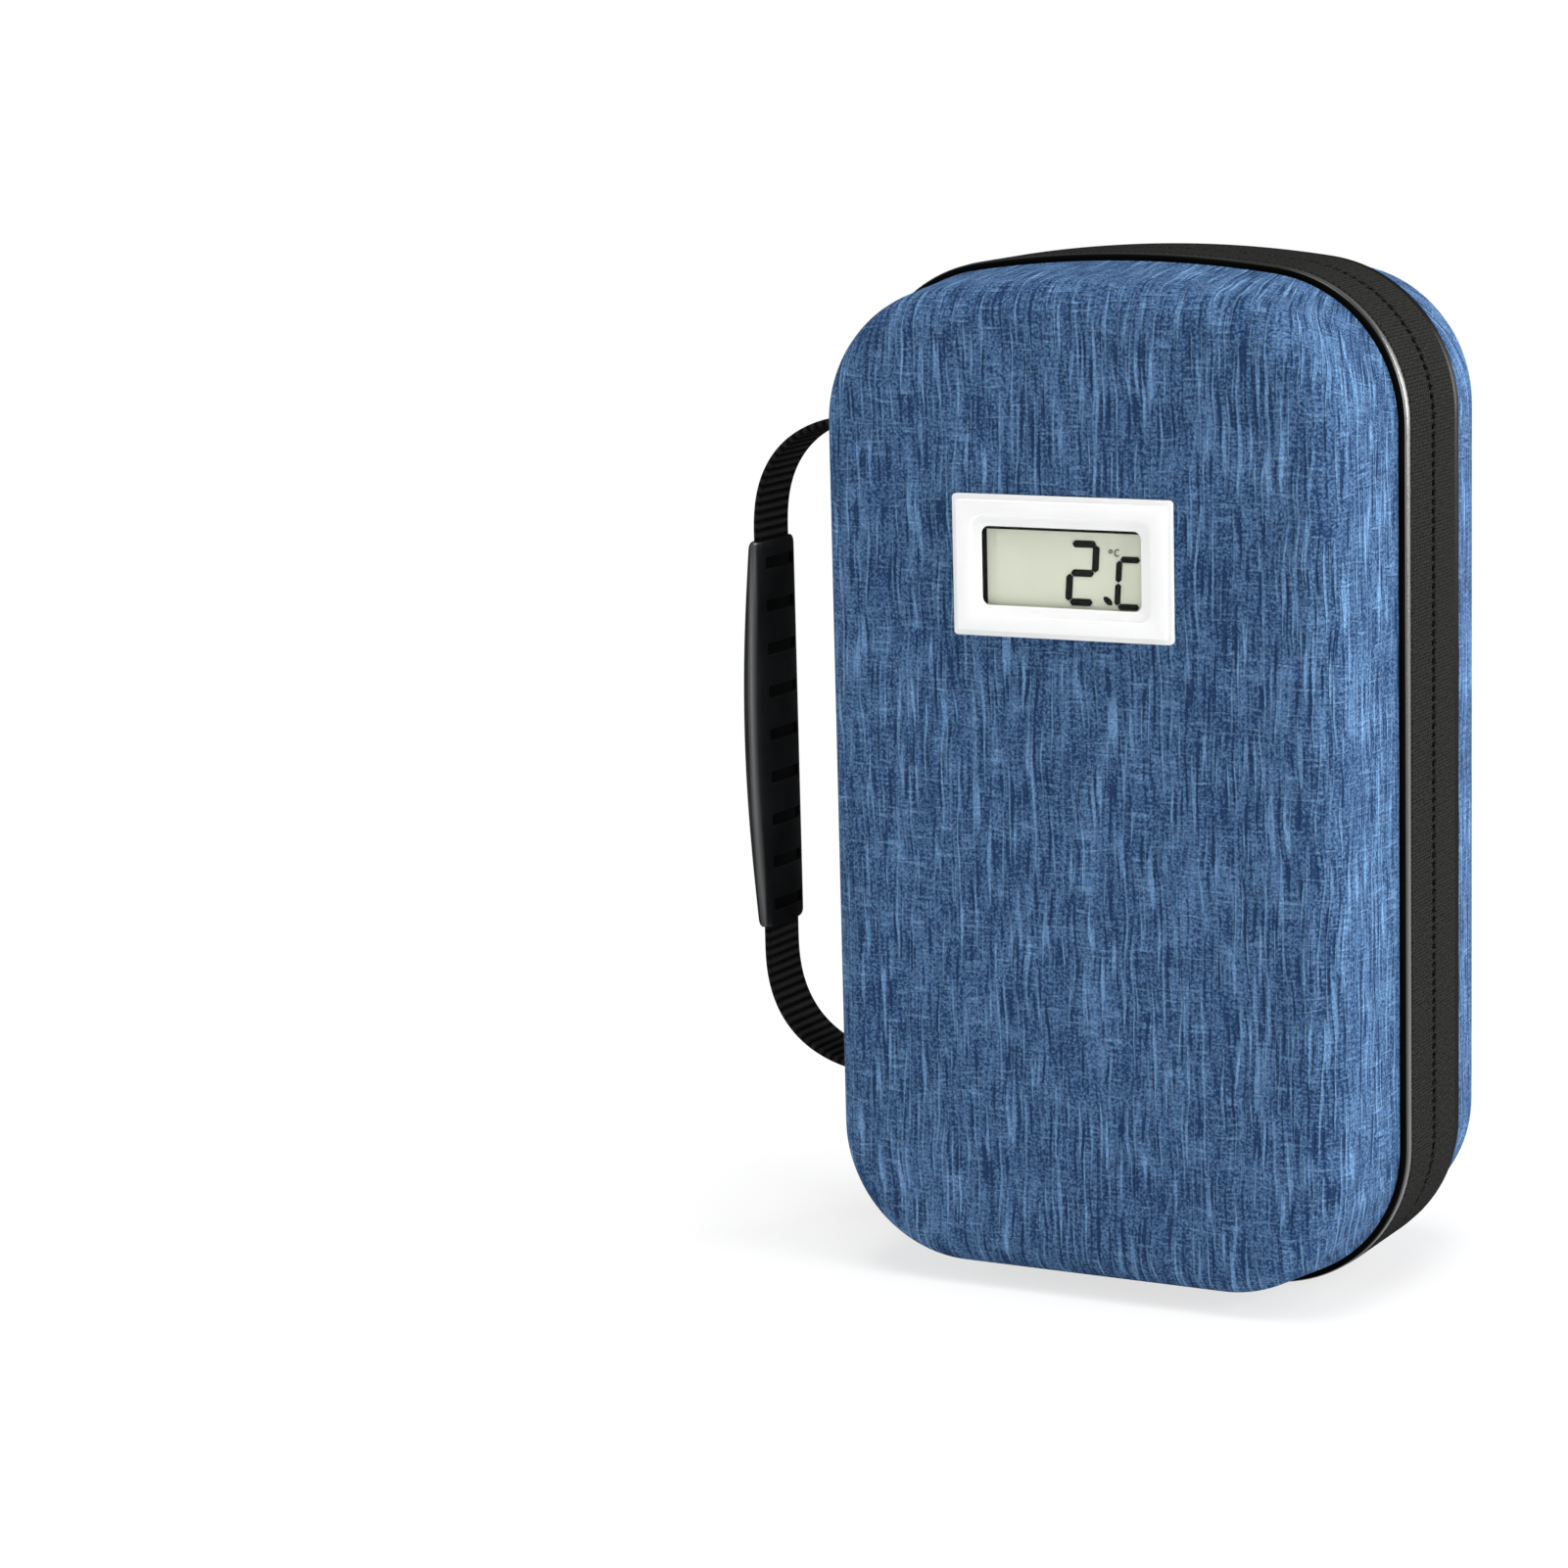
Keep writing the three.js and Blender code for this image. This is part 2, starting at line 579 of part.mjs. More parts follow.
// Thermometer, drawn about its own middle with x right, z up and y the depth behind the shell's front face

const HOUSING_WIDTH = BEZEL_WIDTH - 2 * HOUSING_SIDE;
const HOUSING_HEIGHT = BEZEL_HEIGHT - 2 * HOUSING_SIDE;
const INSIDE_WIDTH = HOUSING_WIDTH - 2 * HOUSING_WALL;
const INSIDE_HEIGHT = HOUSING_HEIGHT - 2 * HOUSING_WALL;
const FLANGE_BACK = -GAP;
const FLANGE_FRONT = FLANGE_BACK - BEZEL_FLANGE;
const GLASS_Y = FLANGE_BACK + GAP;
const ZEBRA_Y = GLASS_Y + GLASS_THICKNESS + GAP;
const BOARD_Y = ZEBRA_Y + ZEBRA_THICKNESS + GAP;
const CONTACT_Y = BOARD_Y + BOARD_THICKNESS + GAP;
const CELL_Y = CONTACT_Y + CONTACT_THICKNESS + GAP;
const LINK_Y = CELL_Y + CELL_THICKNESS + GAP;
const HOUSING_END = LINK_Y + CONTACT_THICKNESS;
const COVER_Y = HOUSING_END + GAP;
const COVER_END = COVER_Y + COVER_THICKNESS;
const CELL_X = CELL_RADIUS + CELL_SPACING / 2;
const GLASS_WIDTH = WINDOW_WIDTH + 2 * GLASS_BORDER;
const GLASS_HEIGHT = WINDOW_HEIGHT + 2 * GLASS_BORDER;
const DOOR_LEFT = -CELL_X - CELL_RADIUS - GAP;

function centredBox(width, height, y0, y1) {
  return box(-width / 2, width / 2, y0, y1, -height / 2, height / 2);
}

function thermometerCutout(width, height, y0, y1) {
  const hole = centredBox(width, height, y0, y1);
  return hole.translate(THERMOMETER_X, FRONT_FACE_Y, THERMOMETER_Z);
}

function thermometerHousing() {
  const flangeShape = roundedRectangle(BEZEL_WIDTH, BEZEL_HEIGHT, BEZEL_CORNER);
  const flange = plateAlongY(flangeShape, FLANGE_FRONT, FLANGE_BACK);
  const raisedWidth = BEZEL_WIDTH - 2 * BEZEL_STEP;
  const raisedHeight = BEZEL_HEIGHT - 2 * BEZEL_STEP;
  const raisedShape = roundedRectangle(raisedWidth, raisedHeight, BEZEL_CORNER / 2);
  const raised = plateAlongY(raisedShape, FLANGE_FRONT - BEZEL_RAISE, FLANGE_BACK - BEZEL_FLANGE / 2);
  const body = centredBox(HOUSING_WIDTH, HOUSING_HEIGHT, FLANGE_BACK - BEZEL_FLANGE / 2, HOUSING_END);
  const catchY = SHELL_WALL + GAP;
  const clips = [-1, 1].map((side) => {
    const wall = (side * HOUSING_WIDTH) / 2;
    const root = wall - (side * HOUSING_WALL) / 2;
    const wedge = [[root, catchY], [wall + side * CLIP_REACH, catchY], [root, catchY + CLIP_LENGTH]];
    const shape = polygon(side > 0 ? wedge : wedge.reverse());
    return plateAlongZ(shape, -CLIP_HEIGHT / 2, CLIP_HEIGHT / 2);
  });
  const front = FLANGE_FRONT - BEZEL_RAISE;
  const windowHole = roundedRectangle(WINDOW_WIDTH, WINDOW_HEIGHT, WINDOW_CORNER);
  const recessShape = roundedRectangle(
    WINDOW_WIDTH + 2 * RECESS_BORDER, WINDOW_HEIGHT + 2 * RECESS_BORDER, WINDOW_CORNER + RECESS_BORDER / 2,
  );
  const ledgeWidth = WINDOW_WIDTH + 2 * WINDOW_LEDGE + 2 * GAP;
  const ledgeHeight = WINDOW_HEIGHT + 2 * WINDOW_LEDGE + 2 * GAP;
  const [before, behind] = [front - CUT_PAST, HOUSING_END + CUT_PAST];
  const halfDoor = DOOR_HEIGHT / 2;
  return cut(join([flange, raised, body, ...clips]), [
    centredBox(INSIDE_WIDTH, INSIDE_HEIGHT, FLANGE_BACK, behind),
    plateAlongY(windowHole, before, FLANGE_BACK + CUT_PAST),
    plateAlongY(recessShape, before, front + RECESS_DEPTH),
    centredBox(ledgeWidth, ledgeHeight, FLANGE_BACK - WINDOW_THICKNESS - GAP, FLANGE_BACK + CUT_PAST),
    box(INSIDE_WIDTH / 2 - CUT_PAST, HOUSING_WIDTH, LINK_Y - GAP, behind, -halfDoor, halfDoor),
  ]);
}

function thermometerWindow() {
  const width = WINDOW_WIDTH + 2 * WINDOW_LEDGE;
  const height = WINDOW_HEIGHT + 2 * WINDOW_LEDGE;
  return centredBox(width, height, FLANGE_BACK - WINDOW_THICKNESS, FLANGE_BACK);
}

function displayPanel() {
  return centredBox(GLASS_WIDTH, GLASS_HEIGHT, GLASS_Y, GLASS_Y + GLASS_THICKNESS);
}

function zebraStrip() {
  const middle = -GLASS_HEIGHT / 2 + ZEBRA_WIDTH;
  return centredBox(ZEBRA_LENGTH, ZEBRA_WIDTH, ZEBRA_Y, ZEBRA_Y + ZEBRA_THICKNESS).translate(0, 0, middle);
}

function circuitBoard() {
  return centredBox(INSIDE_WIDTH - 2 * GAP, INSIDE_HEIGHT - 2 * GAP, BOARD_Y, BOARD_Y + BOARD_THICKNESS);
}

function thermistor() {
  const leads = [[0, 0], [LEAD_RADIUS, 0]];
  const bead = arc(0, BEAD_LENGTH - BEAD_RADIUS, BEAD_RADIUS, -Math.PI / 4, Math.PI / 2, SMALL_ROUND_STEPS);
  const turned = lathe([...leads, ...bead.slice(0, -1), [0, BEAD_LENGTH]], ROUND_STEPS);
  return turned.translate(-INSIDE_WIDTH / 2 + BEAD_INSET, BOARD_Y + BOARD_THICKNESS + GAP, 0);
}

// A button cell: the wide can with the smaller cap towards the board
function buttonCell() {
  const cap = CELL_RADIUS - CELL_STEP;
  const capProfile = [[0, 0], [cap, 0], [cap, CELL_STEP]];
  const canProfile = [[CELL_RADIUS, CELL_STEP], [CELL_RADIUS, CELL_THICKNESS], [0, CELL_THICKNESS]];
  return lathe([...capProfile, ...canProfile], 3 * ROUND_STEPS).translate(0, CELL_Y, 0);
}

function cellContact() {
  const shape = roundedRectangle(CELL_RADIUS, CONTACT_WIDTH, CONTACT_THICKNESS);
  return plateAlongY(shape, CONTACT_Y, CONTACT_Y + CONTACT_THICKNESS);
}

function linkPlate() {
  const shape = roundedRectangle(2 * CELL_X + CONTACT_WIDTH, CONTACT_WIDTH, CONTACT_THICKNESS);
  return plateAlongY(shape, LINK_Y, LINK_Y + CONTACT_THICKNESS);
}

function backCover() {
  const shape = roundedRectangle(HOUSING_WIDTH, HOUSING_HEIGHT, HOUSING_WALL);
  const [before, behind, half] = [COVER_Y - CUT_PAST, COVER_END + CUT_PAST, DOOR_HEIGHT / 2];
  const tools = [box(DOOR_LEFT, HOUSING_WIDTH, before, behind, -half, half)];
  for (let i = 0; i < VENT_COUNT; i++) {
    const x = -INSIDE_WIDTH / 2 + BEAD_INSET + (i - (VENT_COUNT - 1) / 2) * VENT_PITCH;
    tools.push(centredBox(VENT_WIDTH, VENT_HEIGHT, before, behind).translate(x, 0, 0));
  }
  return cut(plateAlongY(shape, COVER_Y, COVER_END), tools);
}

function batteryDoor() {
  const [left, right, half] = [DOOR_LEFT + GAP, HOUSING_WIDTH / 2, DOOR_HEIGHT / 2 - GAP];
  const plate = box(left, right, COVER_Y, COVER_END, -half, half);
  const grooves = Array.from({ length: DOOR_GROOVE_COUNT }, (_, i) => {
    const x = right - (i + 1) * DOOR_GROOVE_PITCH;
    const [x0, x1] = [x - DOOR_GROOVE / 2, x + DOOR_GROOVE / 2];
    return box(x0, x1, COVER_END - DOOR_GROOVE / 2, COVER_END + CUT_PAST, -half / 2, half / 2);
  });
  return cut(plate, grooves);
}

// Cold packs, pocket, divider and pen bands

const DOOR_BACK_Y = FRONT_FACE_Y + COVER_END;
const LID_PACK_Y = DOOR_BACK_Y + GAP + PACK_THICKNESS / 2;
const MESH_Y = LID_PACK_Y + PACK_THICKNESS / 2 + BINDING_WALL + 2 * GAP;
const BACK_LINING_Y = rimY(BACK) + BACK_DEPTH - LINING_INSIDE;
const BASE_PACK_Y = BACK_LINING_Y - GAP - PACK_THICKNESS / 2;
const DIVIDER_Y = BASE_PACK_Y - PACK_THICKNESS / 2 - GAP - DIVIDER_THICKNESS;
const POCKET_INSET = LINING_INSIDE + GAP;
const POCKET_TOP = RIM_BASE + RIM_HEIGHT - POCKET_DROP;

// A pack's outline: rounded corners with sides drawn in a little at the middle
function packRing(inset, y) {
  const [w, h, r] = [PACK_WIDTH / 2 - PACK_CORNER, PACK_LENGTH / 2 - PACK_CORNER, PACK_CORNER - inset];
  const waist = PACK_WIDTH / 2 - PACK_WAIST - inset;
  const quarter = Math.PI / 2;
  const corner = (x, z, from) => arc(x, z, r, from, from + quarter, SMALL_ROUND_STEPS);
  const right = [...corner(w, -h, -quarter), [waist, 0], ...corner(w, h, 0)];
  const left = [...corner(-w, h, quarter), [-waist, 0], ...corner(-w, -h, Math.PI)];
  return [...right, ...left].map(([x, z]) => [x, y, z]);
}

// A pack stands on the lining's floor, which leans in with the draft towards the bottom of its tray
function packZ(side, y) {
  const distance = side * (y - rimY(side)) + PACK_RIM_THICKNESS / 2;
  return RIM_BASE + LINING_INSIDE + distance * Math.tan(DRAFT) + GAP + PACK_LENGTH / 2;
}

function gelPack() {
  const puff = PACK_THICKNESS / 2;
  const rim = PACK_RIM_THICKNESS / 2;
  const shoulder = [(PACK_RIM + PACK_SHOULDER) / 2, puff * PACK_SHOULDER_FILL];
  const side = [[PACK_SHOULDER, puff], shoulder, [PACK_RIM, rim], [0, rim]];
  const rings = [...side, ...side.map(([inset, y]) => [inset, -y]).reverse()];
  return loft(rings.map(([inset, y]) => packRing(inset, y)));
}

function meshPocket() {
  const [w, radius] = [RIM_WIDTH / 2 - POCKET_INSET, CORNER_RADIUS - POCKET_INSET];
  const shape = new THREE.Shape();
  shape.moveTo(w, POCKET_TOP);
  shape.lineTo(-w, POCKET_TOP);
  shape.absarc(-CORNER_X, BOTTOM_CORNER_Z, radius, Math.PI, 1.5 * Math.PI);
  shape.absarc(CORNER_X, BOTTOM_CORNER_Z, radius, 1.5 * Math.PI, 2 * Math.PI);
  shape.closePath();
  return plateAlongY(shape, MESH_Y, MESH_Y + MESH_THICKNESS, CORNER_STEPS);
}

// A folded elastic tape over the pocket's upper edge
function pocketBinding() {
  const [y0, y1] = [-BINDING_WALL - GAP, MESH_THICKNESS + BINDING_WALL + GAP];
  const top = GAP + BINDING_WALL;
  const bottom = top - BINDING_HEIGHT;
  const fold = polygon([
    [y0, bottom], [-GAP, bottom], [-GAP, GAP], [MESH_THICKNESS + GAP, GAP],
    [MESH_THICKNESS + GAP, bottom], [y1, bottom], [y1, top], [y0, top],
  ]);
  const w = RIM_WIDTH / 2 - POCKET_INSET;
  return plateAlongX(fold, -w, w).translate(0, MESH_Y, POCKET_TOP);
}

function dividerPanel() {
  const shape = polygon(outline(-POCKET_INSET - GAP).reverse());
  return plateAlongY(shape, DIVIDER_Y, DIVIDER_Y + DIVIDER_THICKNESS);
}

// An elastic band with a row of arched loops, drawn as x right and y back, on the divider's front
function penBand() {
  const pitch = LOOP_WIDTH + 2 * BAND_THICKNESS + LOOP_SPACING;
  const radius = (LOOP_WIDTH + BAND_THICKNESS) / 2;
  const foot = DIVIDER_Y - GAP - BAND_THICKNESS / 2;
  const spring = foot - (LOOP_HEIGHT - LOOP_WIDTH / 2);
  const centre = [[-(pitch * LOOP_COUNT) / 2 - LOOP_SPACING / 2, foot]];
  for (let i = 0; i < LOOP_COUNT; i++) {
    const x = (i - (LOOP_COUNT - 1) / 2) * pitch;
    centre.push([x - radius, foot]);
    centre.push(...arc(x, spring, radius, Math.PI, 2 * Math.PI, ROUND_STEPS));
    centre.push([x + radius, foot]);
  }
  centre.push([-centre[0][0], foot]);
  return plateAlongZ(ribbon(centre, BAND_THICKNESS), -BAND_HEIGHT / 2, BAND_HEIGHT / 2);
}

// The assembly

const insulinCase = new THREE.Group();

function place(name, geometry, material, parent = insulinCase) {
  const mesh = new THREE.Mesh(geometry, material);
  mesh.name = name;
  parent.add(mesh);
  return mesh;
}

const [cutoutWidth, cutoutHeight] = [HOUSING_WIDTH + 2 * GAP, HOUSING_HEIGHT + 2 * GAP];
const clipsWidth = HOUSING_WIDTH + 2 * (CLIP_REACH + CUTOUT_CLIP_ROOM);
const shellCutout = thermometerCutout(cutoutWidth, cutoutHeight, -CUT_PAST, SHELL_WALL + CUT_PAST);
const liningCutout = thermometerCutout(clipsWidth, cutoutHeight, SHELL_WALL, LINING_INSIDE + CUT_PAST);
place("front_shell", cut(shell(FRONT, FRONT_DEPTH), [shellCutout]), blueCloth);
place("back_shell", shell(BACK, BACK_DEPTH), blueCloth);
place("front_lining", cut(lining(FRONT, FRONT_DEPTH), [liningCutout]), silverFoil);
place("back_lining", lining(BACK, BACK_DEPTH), silverFoil);
for (const [half, side] of [["front", FRONT], ["back", BACK]]) {
  place(`${half}_piping`, piping(side), blackCloth);
  place(`zip_tape_${half}`, zipTape(side), blackCloth);
  place(`zip_coil_${half}`, zipCoil(side), blackPlastic);
}

place("spine_panel", spinePanel(), blackCloth);
place("spine_lining", spineLining(), blackCloth);
place("handle_strap", handleStrap(), blackCloth);
place("handle_grip", handleGrip(), blackPlastic);

const slider = place("zip_slider", zipSlider(), blackMetal);
slider.position.set(-CORNER_X, SPLIT_Y, BOTTOM_CORNER_Z);
slider.rotation.y = -SLIDER_TURN;
const pull = place("zip_pull_tab", pullTab(), blackMetal);
pull.position.set(
  -CORNER_X + PIN_X * Math.cos(SLIDER_TURN), SPLIT_Y, BOTTOM_CORNER_Z + PIN_X * Math.sin(SLIDER_TURN),
);

const thermometer = new THREE.Group();
thermometer.position.set(THERMOMETER_X, FRONT_FACE_Y, THERMOMETER_Z);
insulinCase.add(thermometer);
place("thermometer_housing", thermometerHousing(), whitePlastic, thermometer);
place("thermometer_window", thermometerWindow(), clearPlastic, thermometer);
place("display_glass", displayPanel(), displayGlass, thermometer);
place("zebra_strip", zebraStrip(), blackRubber, thermometer);
place("circuit_board", circuitBoard(), greenBoard, thermometer);
place("thermistor", thermistor(), blackRubber, thermometer);
for (const [number, side] of [[1, -1], [2, 1]]) {
  place(`button_cell_${number}`, buttonCell(), steel, thermometer).position.x = side * CELL_X;
  place(`cell_contact_${number}`, cellContact(), steel, thermometer).position.x = side * CELL_X;
}
place("cell_link_plate", linkPlate(), steel, thermometer);
place("thermometer_back_cover", backCover(), whitePlastic, thermometer);
place("battery_door", batteryDoor(), whitePlastic, thermometer);

place("mesh_pocket", meshPocket(), blackMesh);
place("pocket_binding", pocketBinding(), blackCloth);
place("gel_pack_lid", gelPack(), packFilm).position.set(0, LID_PACK_Y, packZ(FRONT, LID_PACK_Y));
place("gel_pack_base", gelPack(), packFilm).position.set(0, BASE_PACK_Y, packZ(BACK, BASE_PACK_Y));
place("divider_panel", dividerPanel(), silverFoil);
for (const [name, side] of [["pen_band_upper", 1], ["pen_band_lower", -1]]) {
  place(name, penBand(), blackCloth).position.z = RIM_BASE + RIM_HEIGHT / 2 + (side * BAND_SPREAD) / 2;
}

export default insulinCase;
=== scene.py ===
"""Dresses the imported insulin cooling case: cloth shells, zip band, spine, handle, thermometer and inside.

Metres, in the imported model's frame: X to the right, Y to the back, Z up, and the front faces -Y.
"""

import json
import math
from functools import cache

import bmesh
import bpy
import numpy as np
from mathutils import Matrix, Vector

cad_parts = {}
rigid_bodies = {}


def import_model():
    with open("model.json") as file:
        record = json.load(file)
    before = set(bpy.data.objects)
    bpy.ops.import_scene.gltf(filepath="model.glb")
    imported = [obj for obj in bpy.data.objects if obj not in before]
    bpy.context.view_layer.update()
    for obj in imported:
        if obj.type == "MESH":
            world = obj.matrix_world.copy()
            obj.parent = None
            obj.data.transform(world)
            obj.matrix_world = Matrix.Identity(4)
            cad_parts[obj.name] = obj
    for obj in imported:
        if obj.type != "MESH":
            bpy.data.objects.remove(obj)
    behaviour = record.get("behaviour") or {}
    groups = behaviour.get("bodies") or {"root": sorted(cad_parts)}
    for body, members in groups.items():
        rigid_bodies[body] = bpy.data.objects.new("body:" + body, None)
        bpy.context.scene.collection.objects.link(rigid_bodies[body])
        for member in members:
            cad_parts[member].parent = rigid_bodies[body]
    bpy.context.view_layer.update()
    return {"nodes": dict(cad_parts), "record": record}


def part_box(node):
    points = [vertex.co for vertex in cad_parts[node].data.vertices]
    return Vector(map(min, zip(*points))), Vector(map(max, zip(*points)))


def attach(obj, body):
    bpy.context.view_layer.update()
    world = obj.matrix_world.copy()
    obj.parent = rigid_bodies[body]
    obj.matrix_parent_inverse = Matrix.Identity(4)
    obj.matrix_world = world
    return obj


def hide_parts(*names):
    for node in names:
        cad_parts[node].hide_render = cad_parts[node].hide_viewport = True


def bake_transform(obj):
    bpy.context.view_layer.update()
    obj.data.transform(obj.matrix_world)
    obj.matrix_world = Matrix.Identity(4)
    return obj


bl_info = {
    "name": "Insulin cooling case",
    "version": (1, 0, 0),
    "blender": (4, 5, 0),
    "location": "View3D > Sidebar > Cooling case",
    "description": "Dresses the packed case with cloth, zip, handle, thermometer and inside",
    "category": "Object",
}

# The start-up scene's own objects go before the frame is loaded.
for leftover in list(bpy.data.objects):
    bpy.data.objects.remove(leftover)
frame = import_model()
NODES = frame["nodes"]
RECORD = frame["record"]
BODY_OF = {node: body for body, nodes in RECORD["behaviour"]["bodies"].items() for node in nodes}

MM = 0.001
QUARTER_TURN, HALF_TURN, FULL_TURN = math.pi / 2, math.pi, 2 * math.pi
FRONT, BACK = -1, 1
HALVES = (("front", FRONT), ("back", BACK))
FRONT_LOW, FRONT_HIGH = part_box("front_shell")
RIM_Y = {FRONT: FRONT_HIGH.y, BACK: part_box("back_shell")[0].y}
SPLIT_Y = (RIM_Y[FRONT] + RIM_Y[BACK]) / 2
SMOOTH_ANGLE, BEVEL_ANGLE, FLAT_ANGLE = math.radians(38), math.radians(32), math.radians(1)
FINE_STEP, EVEN_STEP, COARSE_STEP = 1.6 * MM, 2.0 * MM, 2.4 * MM
POINTS_A_TOOTH = 10


# Settings


def length(label, default, words):
    """A size property in metres."""
    return bpy.props.FloatProperty(
        name=label, description=words, default=default, min=0.0, precision=5, unit="LENGTH",
        subtype="DISTANCE",
    )


def colour(label, default, words):
    """A colour property, linear red, green and blue."""
    return bpy.props.FloatVectorProperty(
        name=label, description=words, default=default, size=3, min=0.0, max=1.0, subtype="COLOR"
    )


def angle(label, degrees, words):
    """An angle property."""
    return bpy.props.FloatProperty(
        name=label, description=words, default=math.radians(degrees), subtype="ANGLE"
    )


class CaseSizes(bpy.types.PropertyGroup):
    """Sizes of the case's soft goods and trim."""

    rim_width: length("Rim width", FRONT_HIGH.x - FRONT_LOW.x, "Width of the shells at the zip band")
    rim_height: length("Rim height", FRONT_HIGH.z - FRONT_LOW.z, "Height of the shells at the zip band")
    rim_base: length("Rim base", FRONT_LOW.z, "Height of the shells' lowest point over the floor")
    corner_radius: length("Corner radius", 0.030, "Radius of the outline's corners")
    top_crown: length("Top crown", 0.002, "Rise of the top edge at its middle")
    edge_radius: length("Edge radius", 0.008, "Rounding between a shell's face and its side")
    draft: angle("Draft", 6, "Lean of the moulded sides")
    shell_wall: length("Shell wall", 0.003, "Thickness of the moulded shell")
    lining_gap: length("Lining gap", 0.0003, "Room between shell and lining")
    lining_wall: length("Lining wall", 0.004, "Thickness of the insulating lining")
    lining_edge: length("Lining edge", 0.004, "Rounding inside the lining")
    tape_slit: length("Tape slit", 0.0021, "Widest opening between the zip's tapes")
    tooth_pitch: length("Tooth pitch", 0.0019, "Distance from one zip tooth to the next")
    coil_wire: length("Coil wire", 0.00052, "Diameter of the zip coil's wire")
    rib_pitch: length("Rib pitch", 0.0020, "Distance between the webbing's ribs")
    stitch_pitch: length("Stitch pitch", 0.0032, "Distance between stitches")
    net_pitch: length("Net pitch", 0.0036, "Diagonal of one hole of the pocket's net")
    net_cord: length("Net cord", 0.00055, "Thickness of the net's cords")
    crisp_edge: length("Crisp edge", 0.00016, "Rounding on the edges of moulded and cast pieces")
    strap_thickness: length("Strap thickness", 0.0014, "Thickness of the handle's webbing")
    groove_pitch: length("Groove pitch", 0.0094, "Distance between the grip's finger grooves")
    groove_width: length("Groove width", 0.0024, "Width of a finger groove")
    groove_depth: length("Groove depth", 0.0008, "Depth of a finger groove")
    digit_height: length("Digit height", 0.0132, "Height of the display's digit")
    digit_lean: angle("Digit lean", 4, "Slant of the display's digits")


class CaseColours(bpy.types.PropertyGroup):
    """Colours of the case's materials."""

    blue_dark: colour("Dark threads", (0.0156, 0.0414, 0.1120), "Darkest threads of the melange cloth")
    blue_light: colour("Light threads", (0.190, 0.366, 0.632), "Lightest threads of the melange cloth")
    tape: colour("Zip tape", (0.0178, 0.0181, 0.0172), "Woven tape of the zip and the spine")
    piping: colour("Piping", (0.003, 0.003, 0.003), "Vinyl over the piping cord")
    webbing: colour("Webbing", (0.0115, 0.0115, 0.0113), "Webbing of the handle and elastic bands")
    grip: colour("Grip", (0.0206, 0.0216, 0.0226), "Moulded handle grip")
    enamel: colour("Zip enamel", (0.014, 0.014, 0.015), "Enamel on the slider and pull, and the zip's coils")
    white: colour("White moulding", (0.90, 0.905, 0.90), "Thermometer housing")
    window: colour("Window", (0.135, 0.140, 0.135), "Clear window over the display")
    display: colour("Display", (0.812, 0.847, 0.693), "Liquid-crystal glass")
    ink: colour("Display segments", (0.004, 0.005, 0.003), "Segments that are switched on")
    faint_ink: colour("Display mark", (0.10, 0.105, 0.085), "Small unit mark on the display")
    foil: colour("Foil", (0.66, 0.68, 0.70), "Foil of the lining")
    film: colour("Pack film", (0.050, 0.048, 0.098), "Film of the cold packs")
    board: colour("Circuit board", (0.014, 0.10, 0.04), "Solder mask")
    steel: colour("Steel", (0.58, 0.58, 0.57), "Cells and contacts")
    floor: colour("Floor", (0.90, 0.90, 0.90), "Floor and backdrop")


class CaseStage(bpy.types.PropertyGroup):
    """Camera and light."""

    eye: bpy.props.FloatVectorProperty(
        name="Eye", description="Camera's place", default=(0.38854, -0.86396, 0.27523), unit="LENGTH"
    )
    aim_azimuth: angle("Aim azimuth", 28.891, "Direction the camera looks in, from the +Y axis")
    aim_drop: angle("Aim drop", 10.331, "How far the camera looks down")
    roll: angle("Roll", -1.539, "Camera's roll")
    lens: bpy.props.FloatProperty(
        name="Lens", description="Focal length", default=105.72, unit="CAMERA", subtype="DISTANCE_CAMERA"
    )
    ambient: bpy.props.FloatProperty(name="Ambient", description="Light from all round", default=0.22)


def sizes():
    return bpy.context.scene.cooling_case_sizes


def colours():
    return bpy.context.scene.cooling_case_colours


# Points


def arc(x, y, radius, start, end, steps):
    """Points round a centre from one angle to another. radius may be a pair, for an oval."""
    wide, tall = np.broadcast_to(radius, 2)
    return [(x + wide * math.cos(t), y + tall * math.sin(t)) for t in np.linspace(start, end, steps + 1)]


def path_length(points):
    """Distance along a row of points."""
    steps = np.linalg.norm(np.diff(np.array(points), axis=0), axis=1)
    return np.concatenate([[0.0], np.cumsum(steps)])


def directions(points):
    """Unit directions along a row of points."""
    along = np.gradient(points, axis=0)
    return along / np.linalg.norm(along, axis=1)[:, None]


def round_section(centre, radius, aside, upward, sides):
    """Points round a thread or wire."""
    turns = np.linspace(0, FULL_TURN, sides + 1)[:-1]
    return [centre + radius * (aside * math.cos(t) + upward * math.sin(t)) for t in turns]


def squared(value, power):
    """A sine or cosine drawn towards 1, which squares off the round that it traces."""
    return math.copysign(abs(value) ** power, value)


def smooth_step(start, end, value):
    """0 before start and 1 after end, with a smooth rise between."""
    t = min(1.0, max(0.0, (value - start) / (end - start)))
    return t * t * (3 - 2 * t)


def strap_line():
    """X of the handle strap's middle, where it runs through the grip."""
    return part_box("handle_strap")[0].x + sizes().strap_thickness / 2


# Meshes


def lengths_uv(rows, ring, loop):
    """Thread coordinates in metres: along each row across, and from row to row along."""
    across, along = rows[0], rows[:, 0]
    across = np.vstack([across, across[:1]]) if ring else across
    along = np.vstack([along, along[:1]]) if loop else along
    return np.stack(np.meshgrid(path_length(across), path_length(along)), axis=-1)


